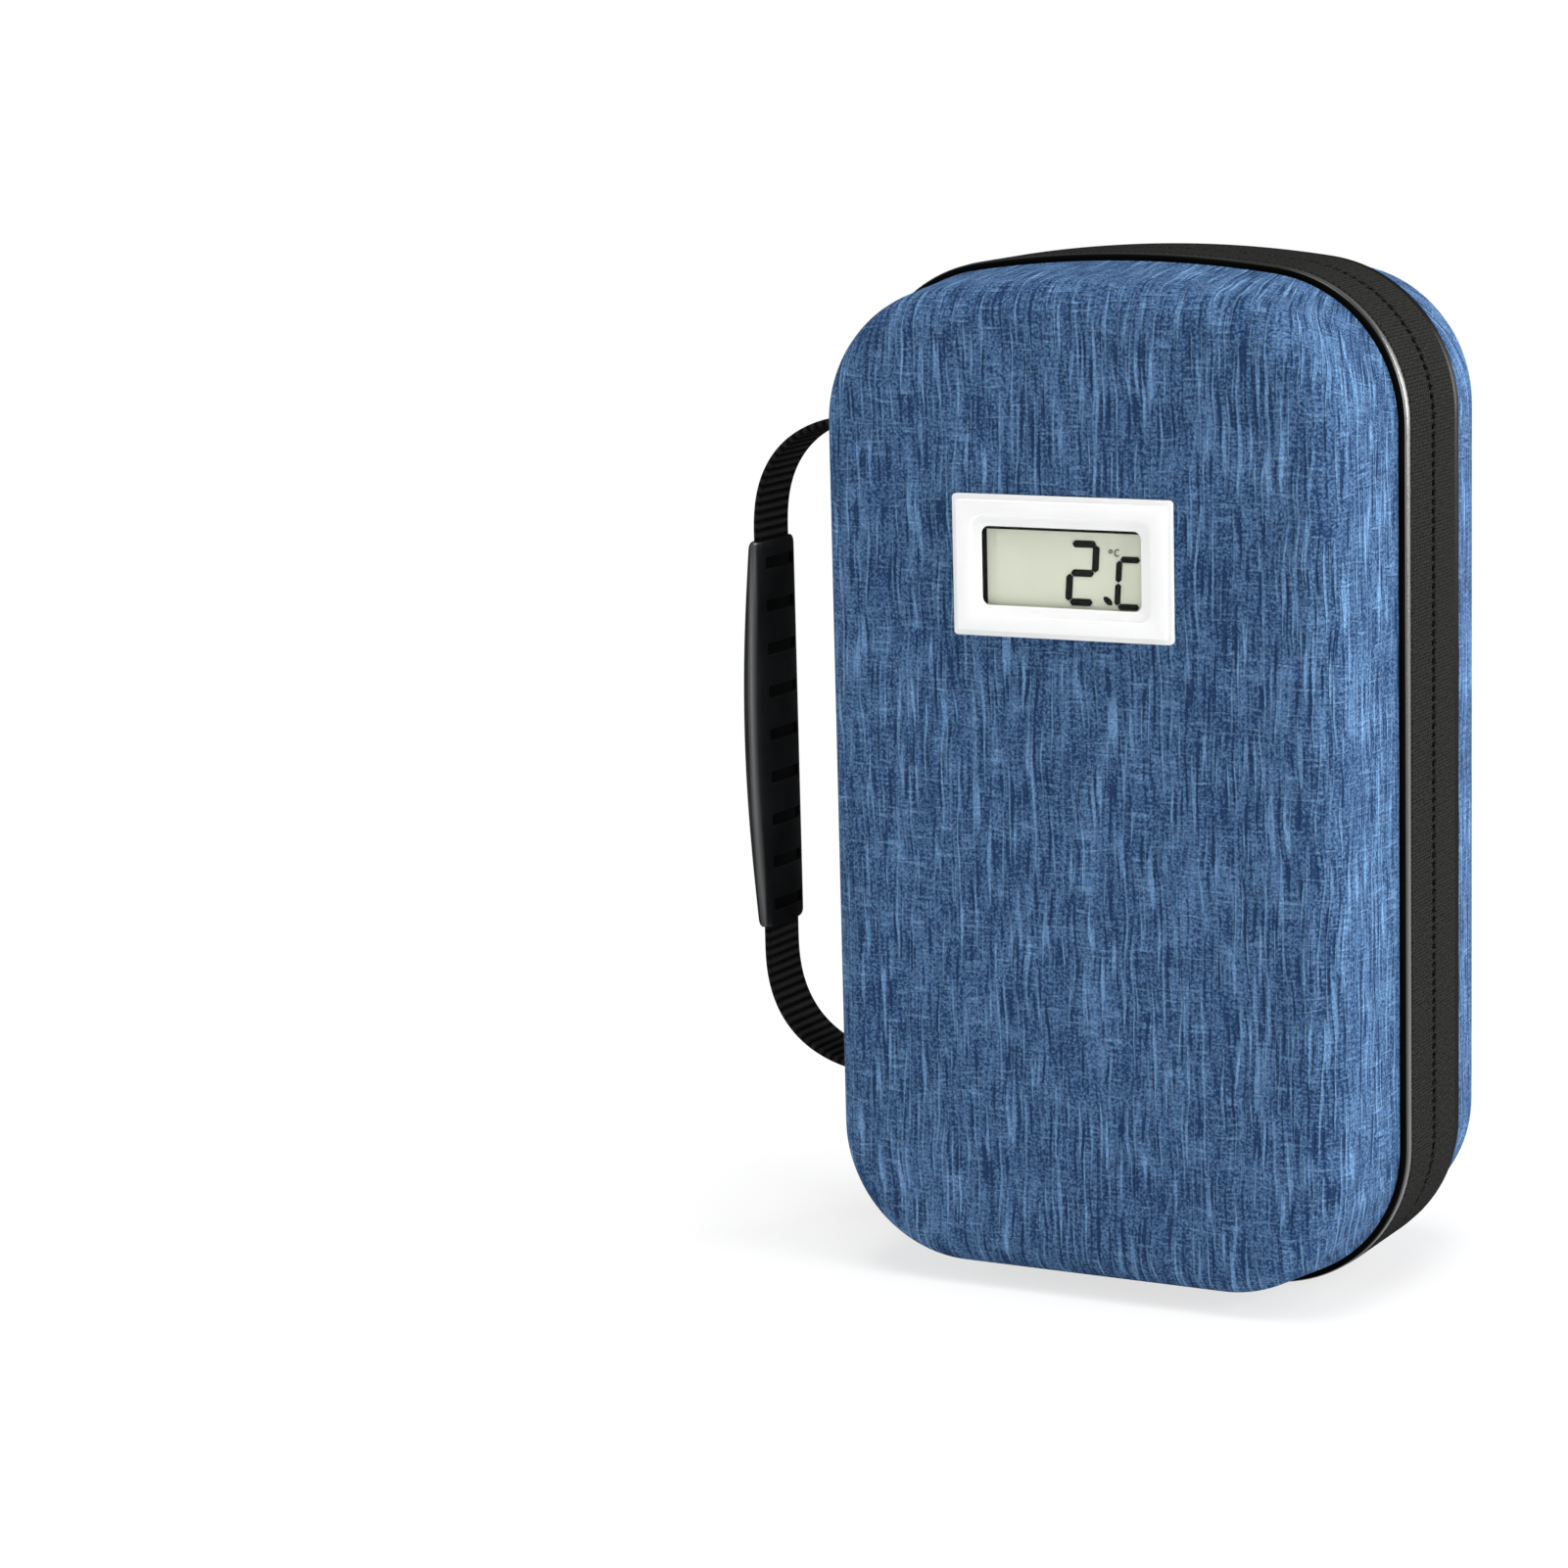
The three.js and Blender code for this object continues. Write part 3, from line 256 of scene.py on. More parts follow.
def skin(name, rows, uv=None, ring=True, loop=False, caps=True):
    """A mesh through rows of points. ring closes each row, loop joins the last row to the first, and caps
    fill the first and last rows."""
    rows = np.asarray(rows, float)
    count, across = rows.shape[:2]
    uv = lengths_uv(rows, ring, loop) if uv is None else uv
    faces, corners = [], []
    for i in range(count if loop else count - 1):
        for j in range(across if ring else across - 1):
            places = ((i, j), (i, j + 1), (i + 1, j + 1), (i + 1, j))
            faces.append([(r % count) * across + c % across for r, c in places])
            corners.extend(places)
    if caps and not loop:
        for row in (0, count - 1):
            faces.append([row * across + j for j in range(across)])
            corners.extend((row, j) for j in range(across))
    mesh = bpy.data.meshes.new(name)
    mesh.from_pydata(rows.reshape(-1, 3).tolist(), [], faces)
    layer = mesh.uv_layers.new(name="threads")
    layer.data.foreach_set("uv", np.array([uv[r][c] for r, c in corners], np.float32).ravel())
    work = bmesh.new()
    work.from_mesh(mesh)
    bmesh.ops.recalc_face_normals(work, faces=work.faces)
    work.to_mesh(mesh)
    work.free()
    return mesh


def as_mesh(work, name):
    """A mesh from an editable one, which is freed."""
    mesh = bpy.data.meshes.new(name)
    work.to_mesh(mesh)
    work.free()
    return mesh


def joined(name, meshes):
    """Several meshes as one."""
    work = bmesh.new()
    for mesh in meshes:
        work.from_mesh(mesh)
    return as_mesh(work, name)


def modified(mesh, kind, **settings):
    """The mesh after one modifier."""
    holder = bpy.data.objects.new("work", mesh)
    bpy.context.collection.objects.link(holder)
    modifier = holder.modifiers.new(kind, kind)
    for key, value in settings.items():
        setattr(modifier, key, value)
    graph = bpy.context.evaluated_depsgraph_get()
    result = bpy.data.meshes.new_from_object(
        holder.evaluated_get(graph), preserve_all_data_layers=True, depsgraph=graph
    )
    bpy.data.objects.remove(holder)
    return result


def carved(mesh, low, high):
    """The mesh with a box cut out of it."""
    low, high = Vector(low), Vector(high)
    work = bmesh.new()
    bmesh.ops.create_cube(work, size=1, matrix=Matrix.LocRotScale((low + high) / 2, None, high - low))
    tool = bpy.data.objects.new("block", as_mesh(work, "block"))
    bpy.context.collection.objects.link(tool)
    result = modified(mesh, "BOOLEAN", object=tool, operation="DIFFERENCE", solver="EXACT")
    bpy.data.objects.remove(tool)
    return result


def eased(node, width, segments=2):
    """A copy of a CAD node's mesh with its flat faces whole and its edges rounded."""
    work = bmesh.new()
    work.from_mesh(NODES[node].data)
    bmesh.ops.remove_doubles(work, verts=work.verts, dist=1e-6)
    bmesh.ops.dissolve_limit(work, angle_limit=FLAT_ANGLE, verts=work.verts, edges=work.edges)
    return modified(
        as_mesh(work, node), "BEVEL", width=width, segments=segments, limit_method="ANGLE",
        angle_limit=BEVEL_ANGLE, use_clamp_overlap=True,
    )


def show(name, mesh, material):
    """Puts a mesh in the scene with its material."""
    mesh.name = name
    mesh.materials.clear()
    mesh.materials.append(material)
    mesh.shade_smooth()
    mesh.set_sharp_from_angle(angle=SMOOTH_ANGLE)
    piece = bpy.data.objects.new(name, mesh)
    bpy.context.collection.objects.link(piece)
    return piece


def place(name, mesh, material, node, instead=True):
    """Puts a mesh on the body of a CAD node and, where it stands for the node, in its place."""
    piece = show(name, mesh, material)
    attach(piece, BODY_OF[node])
    if instead:
        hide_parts(node)
    return piece


def dress(node, material):
    """Gives a CAD node that keeps its shape a better material."""
    NODES[node].data.materials.clear()
    NODES[node].data.materials.append(material)


# The case's outline, and what is swept along it or along a path


def rim_outline(step, closed=True):
    """Points on the rim, x and z, with their outward normals. They run from the top of the left side over the
    top, down the right side and along the bottom to the foot of the left side, and up it where closed."""
    size = sizes()
    half, radius = size.rim_width / 2, size.corner_radius
    low, high = size.rim_base, size.rim_base + size.rim_height
    inner, bottom, top = half - radius, low + radius, high - size.top_crown - radius
    tilt = 2 * math.atan(size.top_crown / inner)
    crown = radius + inner / math.sin(tilt)
    points, normals = [], []

    def bend(x, z, r, start, end):
        for t in np.linspace(start, end, max(2, math.ceil(abs(end - start) * r / step)) + 1)[:-1]:
            points.append((x + r * math.cos(t), z + r * math.sin(t)))
            normals.append((math.cos(t), math.sin(t)))

    def straight(start, end):
        start, end = np.array(start), np.array(end)
        along = (end - start) / np.linalg.norm(end - start)
        for t in np.linspace(0, 1, max(1, math.ceil(np.linalg.norm(end - start) / step)) + 1)[:-1]:
            points.append(tuple(start + (end - start) * t))
            normals.append((-along[1], along[0]))

    bend(-inner, top, radius, HALF_TURN, QUARTER_TURN + tilt)
    bend(0, high - crown, crown, QUARTER_TURN + tilt, QUARTER_TURN - tilt)
    bend(inner, top, radius, QUARTER_TURN - tilt, 0)
    straight((half, top), (half, bottom))
    bend(inner, bottom, radius, 0, -QUARTER_TURN)
    straight((inner, low), (-inner, low))
    bend(-inner, bottom, radius, -QUARTER_TURN, -HALF_TURN)
    if closed:
        straight((-half, bottom), (-half, top))
    else:
        points.append((-half, bottom))
        normals.append((-1.0, 0.0))
    return np.array(points), np.array(normals)


def upright(ring, y):
    """Outline points, x and z, at one depth."""
    return np.column_stack([ring[:, 0], np.full(len(ring), y), ring[:, 1]])


def swept(name, outline, section, loop):
    """A closed section of (offset, y) points swept along an outline. section may also be a function of the
    row."""
    points, normals = outline
    rows = []
    for i, (point, normal) in enumerate(zip(points, normals)):
        ring = section(i) if callable(section) else section
        rows.append([(*(point + normal * offset), y) for offset, y in ring])
    rows = np.array(rows)[:, :, [0, 2, 1]]
    return skin(name, rows, loop=loop)


def tray_wall(inset, depth, radius, steps):
    """Side of a tray as (inset, distance from the rim) pairs: a leaning wall and a rounded edge."""
    draft = sizes().draft
    lean = (depth - radius * (1 - math.sin(draft))) * math.tan(draft)
    centre = inset + lean + radius * math.cos(draft)
    return [(inset, 0.0), *arc(centre, depth - radius, radius, HALF_TURN - draft, QUARTER_TURN, steps)]


def tray(name, side, outer, inner, step):
    """A tray with its mouth towards the zip. Its thread coordinates unroll the sides from the flat face."""
    flat_ring = 1.5 * MM
    outer = [*outer, (outer[-1][0] + flat_ring, outer[-1][1])]
    inner = [*inner, (inner[-1][0] + flat_ring, inner[-1][1])]
    profile = np.array([*reversed(outer), *inner])
    points, normals = rim_outline(step)
    edge = points - normals * profile[1][0]
    rows, uv = [], []
    for (inset, distance), unrolled in zip(profile, path_length(profile) - flat_ring):
        rows.append(upright(points - normals * inset, RIM_Y[side] + side * distance))
        threads = edge + normals * unrolled
        uv.append(np.vstack([threads, threads[:1]]))
    return skin(name, rows, np.array(uv))


def thermometer_hole(mesh, room, clips=0.0):
    """Cuts the way for the thermometer's housing through a front panel."""
    low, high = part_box("thermometer_back_cover")
    low = Vector((low.x - room - clips, FRONT_LOW.y - MM, low.z - room))
    high = Vector((high.x + room + clips, high.y, high.z + room))
    return carved(mesh, low, high)


def strip(name, path, thickness, middle, half_width, axes, rib=None):
    """A flat strap on a path of points in one plane. axes are the plane's two axes and the strap's width
    axis. rib(distance) thins the strap between its ribs, inside its selvedges."""
    u, v, w = (np.array(axis, float) for axis in axes)
    path = np.array(path)
    along = directions(path)
    normal = np.column_stack([-along[:, 1], along[:, 0]])
    selvedge = 0.9
    upper = [(-1, 0.0), (-0.985, 0.6), (-0.95, 1.0), (-0.88, 1.0), (-0.45, 1.0), (0.0, 1.0)]
    half = [*upper, *((-y, t) for y, t in reversed(upper[:-1]))]
    section = [*half, *((y, -t) for y, t in reversed(half[1:-1]))]
    rows = []
    for point, side, distance in zip(path, normal, path_length(path)):
        body = 1.0 if rib is None else rib(distance)
        row = []
        for y, t in section:
            high = t * thickness / 2 * (body if abs(y) < selvedge else 1.0)
            flat = point + side * high
            row.append(u * flat[0] + v * flat[1] + w * (middle + y * half_width))
        rows.append(row)
    return skin(name, rows)


def tube(name, centre, radius, sides):
    """A round tube along a row of points."""
    centre = np.array(centre)
    along = directions(centre)
    side = np.cross(along[0], (0.0, 1.0, 0.3))
    rows = []
    for point, direction in zip(centre, along):
        side = side - direction * np.dot(side, direction)
        side /= np.linalg.norm(side)
        rows.append(round_section(point, radius, side, np.cross(direction, side), sides))
    return skin(name, rows)


def stitches(name, seams, normal):
    """Sewn stitches along seams, each a list of points: short threads that leave the cloth and go back in."""
    pitch = sizes().stitch_pitch
    half, thread, rise = 0.40 * pitch, 0.22 * MM, 0.05 * MM
    dive, taper = 2 * thread, 0.35
    normal = np.array(normal, float)
    made = []
    for seam in seams:
        seam = np.array(seam)
        for start, end in zip(seam, seam[1:]):
            span = np.linalg.norm(end - start)
            along = (end - start) / span
            aside = np.cross(normal, along)
            count = max(1, round(span / pitch))
            for i in range(count):
                middle = start + (end - start) * (i + 0.5) / count
                rows = []
                for s in np.linspace(-1, 1, 7):
                    centre = middle + along * half * s + normal * (rise - dive * s ** 4)
                    rows.append(round_section(centre, thread * (1 - taper * s ** 2), aside, normal, 8))
                made.append(skin(name, rows))
    return joined(name, made)


# Shader nodes


def add(tree, kind, inputs=None, **settings):
    """A node with its settings, and inputs that are values or sockets."""
    node = tree.nodes.new(kind)
    for key, value in settings.items():
        setattr(node, key, value)
    for key, value in (inputs or {}).items():
        if isinstance(value, bpy.types.NodeSocket):
            tree.links.new(value, node.inputs[key])
        else:
            node.inputs[key].default_value = value
    return node


def calc(tree, operation, first, second=0.0, clamp=False):
    """A Math node's result."""
    inputs = {0: first, 1: second}
    return add(tree, "ShaderNodeMath", inputs, operation=operation, use_clamp=clamp).outputs[0]


def total(tree, first, *others):
    """The sum of values."""
    for value in others:
        first = calc(tree, "ADD", first, value)
    return first


def times(tree, first, *others):
    """The product of values."""
    for value in others:
        first = calc(tree, "MULTIPLY", first, value)
    return first


def apart(tree, value, centre):
    """How far a value is from another."""
    return calc(tree, "ABSOLUTE", calc(tree, "SUBTRACT", value, centre))


def remap(tree, value, low, high, to_low=0.0, to_high=1.0):
    """A value stretched from one range to another."""
    inputs = {"Value": value, "From Min": low, "From Max": high, "To Min": to_low, "To Max": to_high}
    return add(tree, "ShaderNodeMapRange", inputs).outputs["Result"]


def noise(tree, vector, scale, detail, result="Fac"):
    """A Noise Texture's value, or its colour."""
    inputs = {"Vector": vector, "Scale": scale, "Detail": detail}
    return add(tree, "ShaderNodeTexNoise", inputs).outputs[result]


def parts(tree, vector):
    """A vector's x, y and z."""
    return add(tree, "ShaderNodeSeparateXYZ", {0: vector}).outputs


def shifted(tree, vector, by):
    """A vector moved by another."""
    return add(tree, "ShaderNodeVectorMath", {0: vector, 1: by}, operation="ADD").outputs[0]


def scaled(tree, vector, factor):
    """A vector times a number."""
    return add(tree, "ShaderNodeVectorMath", {0: vector, 3: factor}, operation="SCALE").outputs[0]


def mixed(tree, share, first, second):
    """Two colours mixed by a share."""
    inputs = {"Factor": share, "A": first, "B": second}
    return add(tree, "ShaderNodeMix", inputs, data_type="RGBA").outputs["Result"]


def emptied(owner):
    """The node tree of a material or world, without its first nodes."""
    owner.use_nodes = True
    owner.node_tree.nodes.clear()
    return owner.node_tree


def background_seen(tree):
    """1 for the rays that show the background: to the camera, in gloss and through clear pieces."""
    path = add(tree, "ShaderNodeLightPath").outputs
    seen = calc(tree, "ADD", path["Is Camera Ray"], path["Is Glossy Ray"], clamp=True)
    return calc(tree, "ADD", seen, path["Is Transmission Ray"], clamp=True)


# Effects that materials share, each a node group that is built once


def effect(name, inputs):
    """An empty node group for an effect, with its input and output sockets. The first is the place in mm."""
    tree = bpy.data.node_groups.new(name, "ShaderNodeTree")
    tree.interface.new_socket("Place", in_out="INPUT", socket_type="NodeSocketVector")
    for label, default in inputs.items():
        socket = tree.interface.new_socket(label, in_out="INPUT", socket_type="NodeSocketFloat")
        socket.default_value = default
    for label in ("Tone", "Height"):
        tree.interface.new_socket(label, in_out="OUTPUT", socket_type="NodeSocketFloat")
    return tree, tree.nodes.new("NodeGroupInput").outputs, tree.nodes.new("NodeGroupOutput").inputs


def melange(width, ridge, cross, speckle):
    """Values of the melange threads."""
    return {"Thread Width": width, "Ridge Length": ridge, "Cross Share": cross, "Speckle": speckle}


def ribs(pitch, share, twill, fuzz):
    """Values of the ribbed weave."""
    return {"Rib Pitch": pitch, "Rib Share": share, "Twill Pitch": twill, "Fuzz": fuzz}


def grains(grain, smear):
    """Values of the moulded grain."""
    return {"Grain Size": grain, "Smear Size": smear}


def creases(facet, fold):
    """Values of the crinkled film."""
    return {"Facet Size": facet, "Fold": fold}


@cache
def melange_threads():
    """Slubby cloth: a speckled weave, sparse thin ridges both ways, broad soft slubs and patches of tone."""
    tree, given, result = effect("Melange threads", melange(0.6, 14.0, 0.6, 1.0))
    place_mm = given["Place"]
    wander, wander_scale = 2.4, 0.06
    drift = scaled(tree, noise(tree, place_mm, wander_scale, 1.0, "Color"), wander)
    x, y, _ = parts(tree, shifted(tree, place_mm, drift))

    def streaks(across, along, width, reach, low, high, start):
        """Noise drawn out along the threads. width and reach are shares of the thread's, low and high the
        noise that counts as none and as full, and start keeps one set of streaks apart from the next."""
        stretched = {
            0: calc(tree, "DIVIDE", across, times(tree, given["Thread Width"], width)),
            1: calc(tree, "DIVIDE", along, times(tree, given["Ridge Length"], reach)),
            2: start,
        }
        vector = add(tree, "ShaderNodeCombineXYZ", stretched).outputs[0]
        return remap(tree, noise(tree, vector, 1.0, 0.0), low, high)

    def blotches(scale, detail, low, high):
        return remap(tree, noise(tree, place_mm, scale, detail), low, high)

    def weighted(*pairs):
        return total(tree, *(times(tree, value, share) for value, share in pairs))

    warp = streaks(x, y, 1.2, 0.7, 0.28, 0.72, 0.0)
    ridge = streaks(x, y, 1.2, 1.0, 0.57, 0.70, 3.7)
    # These dark streaks are sunk in the relief and painted darker as well: painted shade along the creases.
    painted_shade_ditch = streaks(x, y, 1.35, 0.8, 0.58, 0.77, 9.1)
    slub = streaks(x, y, 5.0, 2.6, 0.52, 0.76, 6.2)
    weft = streaks(y, x, 1.2, 0.5, 0.28, 0.72, 5.3)
    cross = streaks(y, x, 1.3, 0.45, 0.58, 0.73, 7.9)
    knots = add(tree, "ShaderNodeTexVoronoi", {"Vector": place_mm, "Scale": 1.7, "Randomness": 0.9})
    dots = remap(tree, knots.outputs["Distance"], 0.70, 0.10)
    grain = weighted((blotches(1.7, 1.0, 0.30, 0.70), 0.55), (dots, 0.45))
    patchy_weft = times(tree, weft, blotches(0.16, 1.0, 0.40, 0.62))
    crossing = weighted((patchy_weft, 0.18), (cross, 0.28))
    tone = weighted(
        (warp, 0.13), (ridge, 0.30), (slub, 0.10), (crossing, given["Cross Share"]), (painted_shade_ditch, -0.24),
        (blotches(0.05, 2.0, 0.35, 0.65), 0.05), (times(tree, grain, 0.50), given["Speckle"]),
    )
    height = weighted(
        (ridge, 1.0), (cross, 0.8), (warp, 0.3), (weft, 0.25), (slub, 0.4), (grain, 0.35), (painted_shade_ditch, -0.6)
    )
    tree.links.new(remap(tree, tone, 0.195, 0.955), result["Tone"])
    tree.links.new(height, result["Height"])
    return tree


@cache
def ribbed_weave():
    """Narrow woven tape: ribs across its length, with a finer twill between them."""
    tree, given, result = effect("Ribbed weave", ribs(1.3, 0.5, 0.55, 0.3))
    across, along, _ = parts(tree, given["Place"])
    twill_slope, highest = 0.7, 1.3
    rib_turn = times(tree, along, calc(tree, "DIVIDE", FULL_TURN, given["Rib Pitch"]))
    rib = calc(tree, "COSINE", total(tree, rib_turn, HALF_TURN))
    slant = total(tree, across, times(tree, along, twill_slope))
    twill = calc(tree, "SINE", times(tree, slant, calc(tree, "DIVIDE", FULL_TURN, given["Twill Pitch"])))
    twill_share = calc(tree, "SUBTRACT", 1.0, given["Rib Share"])
    fuzz = remap(tree, noise(tree, given["Place"], 1.5, 3.0), 0.3, 0.7, -1.0, 1.0)
    height = total(
        tree, times(tree, rib, given["Rib Share"]), times(tree, twill, twill_share),
        times(tree, fuzz, given["Fuzz"]),
    )
    # The tone follows the height, so the colour is painted darker in the valleys between the ribs and lighter
    # on their tops: painted shade and light.
    tree.links.new(remap(tree, height, -highest, highest), result["Tone"])
    tree.links.new(height, result["Height"])
    return tree


@cache
def moulded_grain():
    """Fine grain of a moulding, with broad smears left by handling."""
    tree, given, result = effect("Moulded grain", grains(0.3, 14.0))
    grain = noise(tree, given["Place"], calc(tree, "DIVIDE", 1.0, given["Grain Size"]), 2.0)
    smear = noise(tree, given["Place"], calc(tree, "DIVIDE", 1.0, given["Smear Size"]), 3.0)
    tree.links.new(remap(tree, smear, 0.32, 0.68), result["Tone"])
    tree.links.new(grain, result["Height"])
    return tree


@cache
def crinkled_film():
    """Creases of a thin film: sharp folds between flat facets, and soft swells."""
    tree, given, result = effect("Crinkled film", creases(7.0, 0.6))
    scale = calc(tree, "DIVIDE", 1.0, given["Facet Size"])
    swell = noise(tree, given["Place"], times(tree, scale, 0.5), 2.0)
    cells = {"Vector": shifted(tree, given["Place"], swell), "Scale": scale, "Randomness": 1.0}
    facets = add(tree, "ShaderNodeTexVoronoi", cells, feature="F1").outputs["Distance"]
    height = total(tree, times(tree, facets, given["Fold"]), swell)
    tree.links.new(remap(tree, height, 0.4, 1.1), result["Tone"])
    tree.links.new(height, result["Height"])
    return tree


# Materials


def shades(paint, spread):
    """A darker and a lighter shade of a colour property. A pair names the dark and the light one."""
    dark, light = (paint, paint) if isinstance(paint, str) else paint
    dark = [c * (1 - spread) for c in getattr(colours(), dark)]
    light = [min(1.0, c * (1 + spread)) for c in getattr(colours(), light)]
    return (*dark, 1.0), (*light, 1.0)


def finish(
    name, group, values, paint, spread, relief, gloss, where="object", polish=None, shadow=None, **constants
):
    """A material whose colour, gloss and relief follow one shared effect. relief is in mm, and gloss is the
    roughness at the effect's low and high tone. where is the object's own coordinates, these turned to its
    side, or the thread coordinates. polish and shadow make masks from the place in mm: where there is a coat
    of gloss, and where painted shade takes the colour towards black. The rest are constants of the shader."""
    material = bpy.data.materials.new(name)
    tree = emptied(material)
    if where == "threads":
        place_m = add(tree, "ShaderNodeUVMap", uv_map="threads").outputs["UV"]
    else:
        place_m = add(tree, "ShaderNodeTexCoord").outputs["Object"]
    place_mm = scaled(tree, place_m, 1 / MM)
    if where == "side":
        x, y, z = parts(tree, place_mm)
        place_mm = add(tree, "ShaderNodeCombineXYZ", {0: y, 1: z, 2: x}).outputs[0]
    worked = add(tree, "ShaderNodeGroup", {"Place": place_mm, **values}, node_tree=group()).outputs
    base = mixed(tree, worked["Tone"], *shades(paint, spread))
    if shadow:
        base = mixed(tree, shadow(tree, place_mm), base, (0.0, 0.0, 0.0, 1.0))
    bump = {"Height": worked["Height"], "Distance": relief * MM, "Strength": 1.0}
    shader = add(tree, "ShaderNodeBsdfPrincipled", {
        "Base Color": base, "Roughness": remap(tree, worked["Tone"], 0.0, 1.0, *gloss),
        "Normal": add(tree, "ShaderNodeBump", bump).outputs["Normal"],
    })
    for key, value in constants.items():
        shader.inputs[key.replace("_", " ")].default_value = value
    if polish:
        tree.links.new(polish(tree, place_mm), shader.inputs["Coat Weight"])
    add(tree, "ShaderNodeOutputMaterial", {"Surface": shader.outputs["BSDF"]})
    return material


PLAIN_FINISHES = {
    "blue_melange_cloth": dict(
        group=melange_threads, values=melange(0.6, 14.0, 0.6, 1.0), paint=("blue_dark", "blue_light"),
        spread=0.0, relief=0.50, gloss=(0.95, 0.85), where="threads", Specular_IOR_Level=0.06,
    ),
    "zip_tape_cloth": dict(
        group=ribbed_weave, values=ribs(0.7, 0.4, 0.9, 0.8), paint="tape", spread=0.80,
        relief=0.05, gloss=(0.95, 0.85), where="threads", Specular_IOR_Level=0.0,
    ),
    "spine_cloth": dict(
        group=melange_threads, values=melange(0.35, 3.0, 1.0, 1.0), paint="tape", spread=0.5,
        relief=0.12, gloss=(0.92, 0.82), where="side", Specular_IOR_Level=0.06,
    ),
    "elastic_band": dict(
        group=ribbed_weave, values=ribs(0.9, 0.5, 1.2, 0.3), paint="webbing", spread=0.5,
        relief=0.06, gloss=(0.85, 0.7), where="threads", Specular_IOR_Level=0.25,
    ),
    "elastic_binding": dict(
        group=ribbed_weave, values=ribs(0.9, 0.5, 1.2, 0.3), paint="webbing", spread=0.5,
        relief=0.06, gloss=(0.85, 0.7),
    ),
    "coil_plastic": dict(
        group=moulded_grain, values=grains(0.2, 6.0), paint="enamel", spread=0.2,
        relief=0.004, gloss=(0.35, 0.5), Specular_IOR_Level=0.05,
    ),
    "zip_enamel": dict(
        group=moulded_grain, values=grains(0.12, 3.0), paint="enamel", spread=0.4,
        relief=0.004, gloss=(0.22, 0.36), Metallic=0.6, Coat_Weight=0.4, Coat_Roughness=0.2,
    ),
    "white_moulding": dict(
        group=moulded_grain, values=grains(0.18, 10.0), paint="white", spread=0.012,
        relief=0.003, gloss=(0.34, 0.42), Specular_IOR_Level=0.2,
    ),
    "clear_window": dict(
        group=moulded_grain, values=grains(0.4, 9.0), paint="window", spread=0.11,
        relief=0.001, gloss=(0.05, 0.10), Alpha=0.05, Specular_IOR_Level=0.25,
    ),
    "display_glass": dict(
        group=moulded_grain, values=grains(0.12, 12.0), paint="display", spread=0.02,
        relief=0.002, gloss=(0.30, 0.38), Specular_IOR_Level=0.3,
    ),
    "segment_ink": dict(
        group=moulded_grain, values=grains(0.1, 4.0), paint="ink", spread=0.15,
        relief=0.001, gloss=(0.5, 0.6), Specular_IOR_Level=0.02,
    ),
    "faint_ink": dict(
        group=moulded_grain, values=grains(0.1, 4.0), paint="faint_ink", spread=0.15,
        relief=0.001, gloss=(0.5, 0.6), Specular_IOR_Level=0.02,
    ),
    "foil_lining": dict(
        group=crinkled_film, values=creases(6.0, 0.7), paint="foil", spread=0.10,
        relief=0.45, gloss=(0.30, 0.42), Metallic=0.75,
    ),
    "net_cord": dict(
        group=moulded_grain, values=grains(0.3, 5.0), paint="webbing", spread=0.3,
        relief=0.03, gloss=(0.7, 0.8),
    ),
    "pack_film": dict(
        group=crinkled_film, values=creases(16.0, 0.25), paint="film", spread=0.12,
        relief=0.5, gloss=(0.34, 0.46), Specular_IOR_Level=0.4,
    ),
    "board_mask": dict(
        group=ribbed_weave, values=ribs(1.27, 0.5, 2.5, 0.1), paint="board", spread=0.35,
        relief=0.02, gloss=(0.3, 0.45),
    ),
    "bright_steel": dict(
        group=moulded_grain, values=grains(0.06, 4.0), paint="steel", spread=0.08,
        relief=0.003, gloss=(0.2, 0.34), Metallic=1.0,
    ),
    "black_rubber": dict(
        group=moulded_grain, values=grains(0.15, 3.0), paint="piping", spread=0.3,
        relief=0.01, gloss=(0.7, 0.8), Specular_IOR_Level=0.05,
    ),
    "sewing_thread": dict(
        group=moulded_grain, values=grains(0.12, 1.0), paint="tape", spread=0.4,
        relief=0.02, gloss=(0.55, 0.7),
    ),
}


@cache
def plain(name):
    """A finish of the table, made when it is first asked for."""
    return finish(name, **PLAIN_FINISHES[name])


def webbing_cloth():
    """Webbing whose ribs keep step with the strap's own, with strong painted shade between the ribs."""
    return finish(
        "handle_webbing", ribbed_weave, ribs(sizes().rib_pitch / MM, 0.9, 0.6, 0.2), "webbing", 0.95, 0.08,
        (0.95, 0.9), where="threads", Specular_IOR_Level=0.0,
    )


def piping_vinyl(half):
    """Vinyl that is matt on its flank and polished on its crown, but hardly at the top of the case."""
    points = rim_outline(MM)[0]
    top_middle = path_length(points)[np.argmax(points[:, 0] > 0)] / MM
    most = {"front": 1.0, "back": 0.10}[half]
    dull_within, full_beyond, dull_share = 32.0, 66.0, 0.16
    crown_start, crown_full = 2.05, 2.35

    def crown(tree, place_mm):
        across, along, _ = parts(tree, place_mm)
        from_top = apart(tree, along, top_middle)
        side = remap(tree, from_top, dull_within, full_beyond, dull_share * most, most)
        return times(tree, remap(tree, across, crown_start, crown_full), side)

    return finish(
        f"piping_vinyl_{half}", moulded_grain, grains(0.25, 20.0), "piping", 0.25, 0.008, (0.5, 0.6),
        where="threads", polish=crown, Specular_IOR_Level=0.0, Coat_Roughness=0.26, Coat_IOR=1.8,
    )


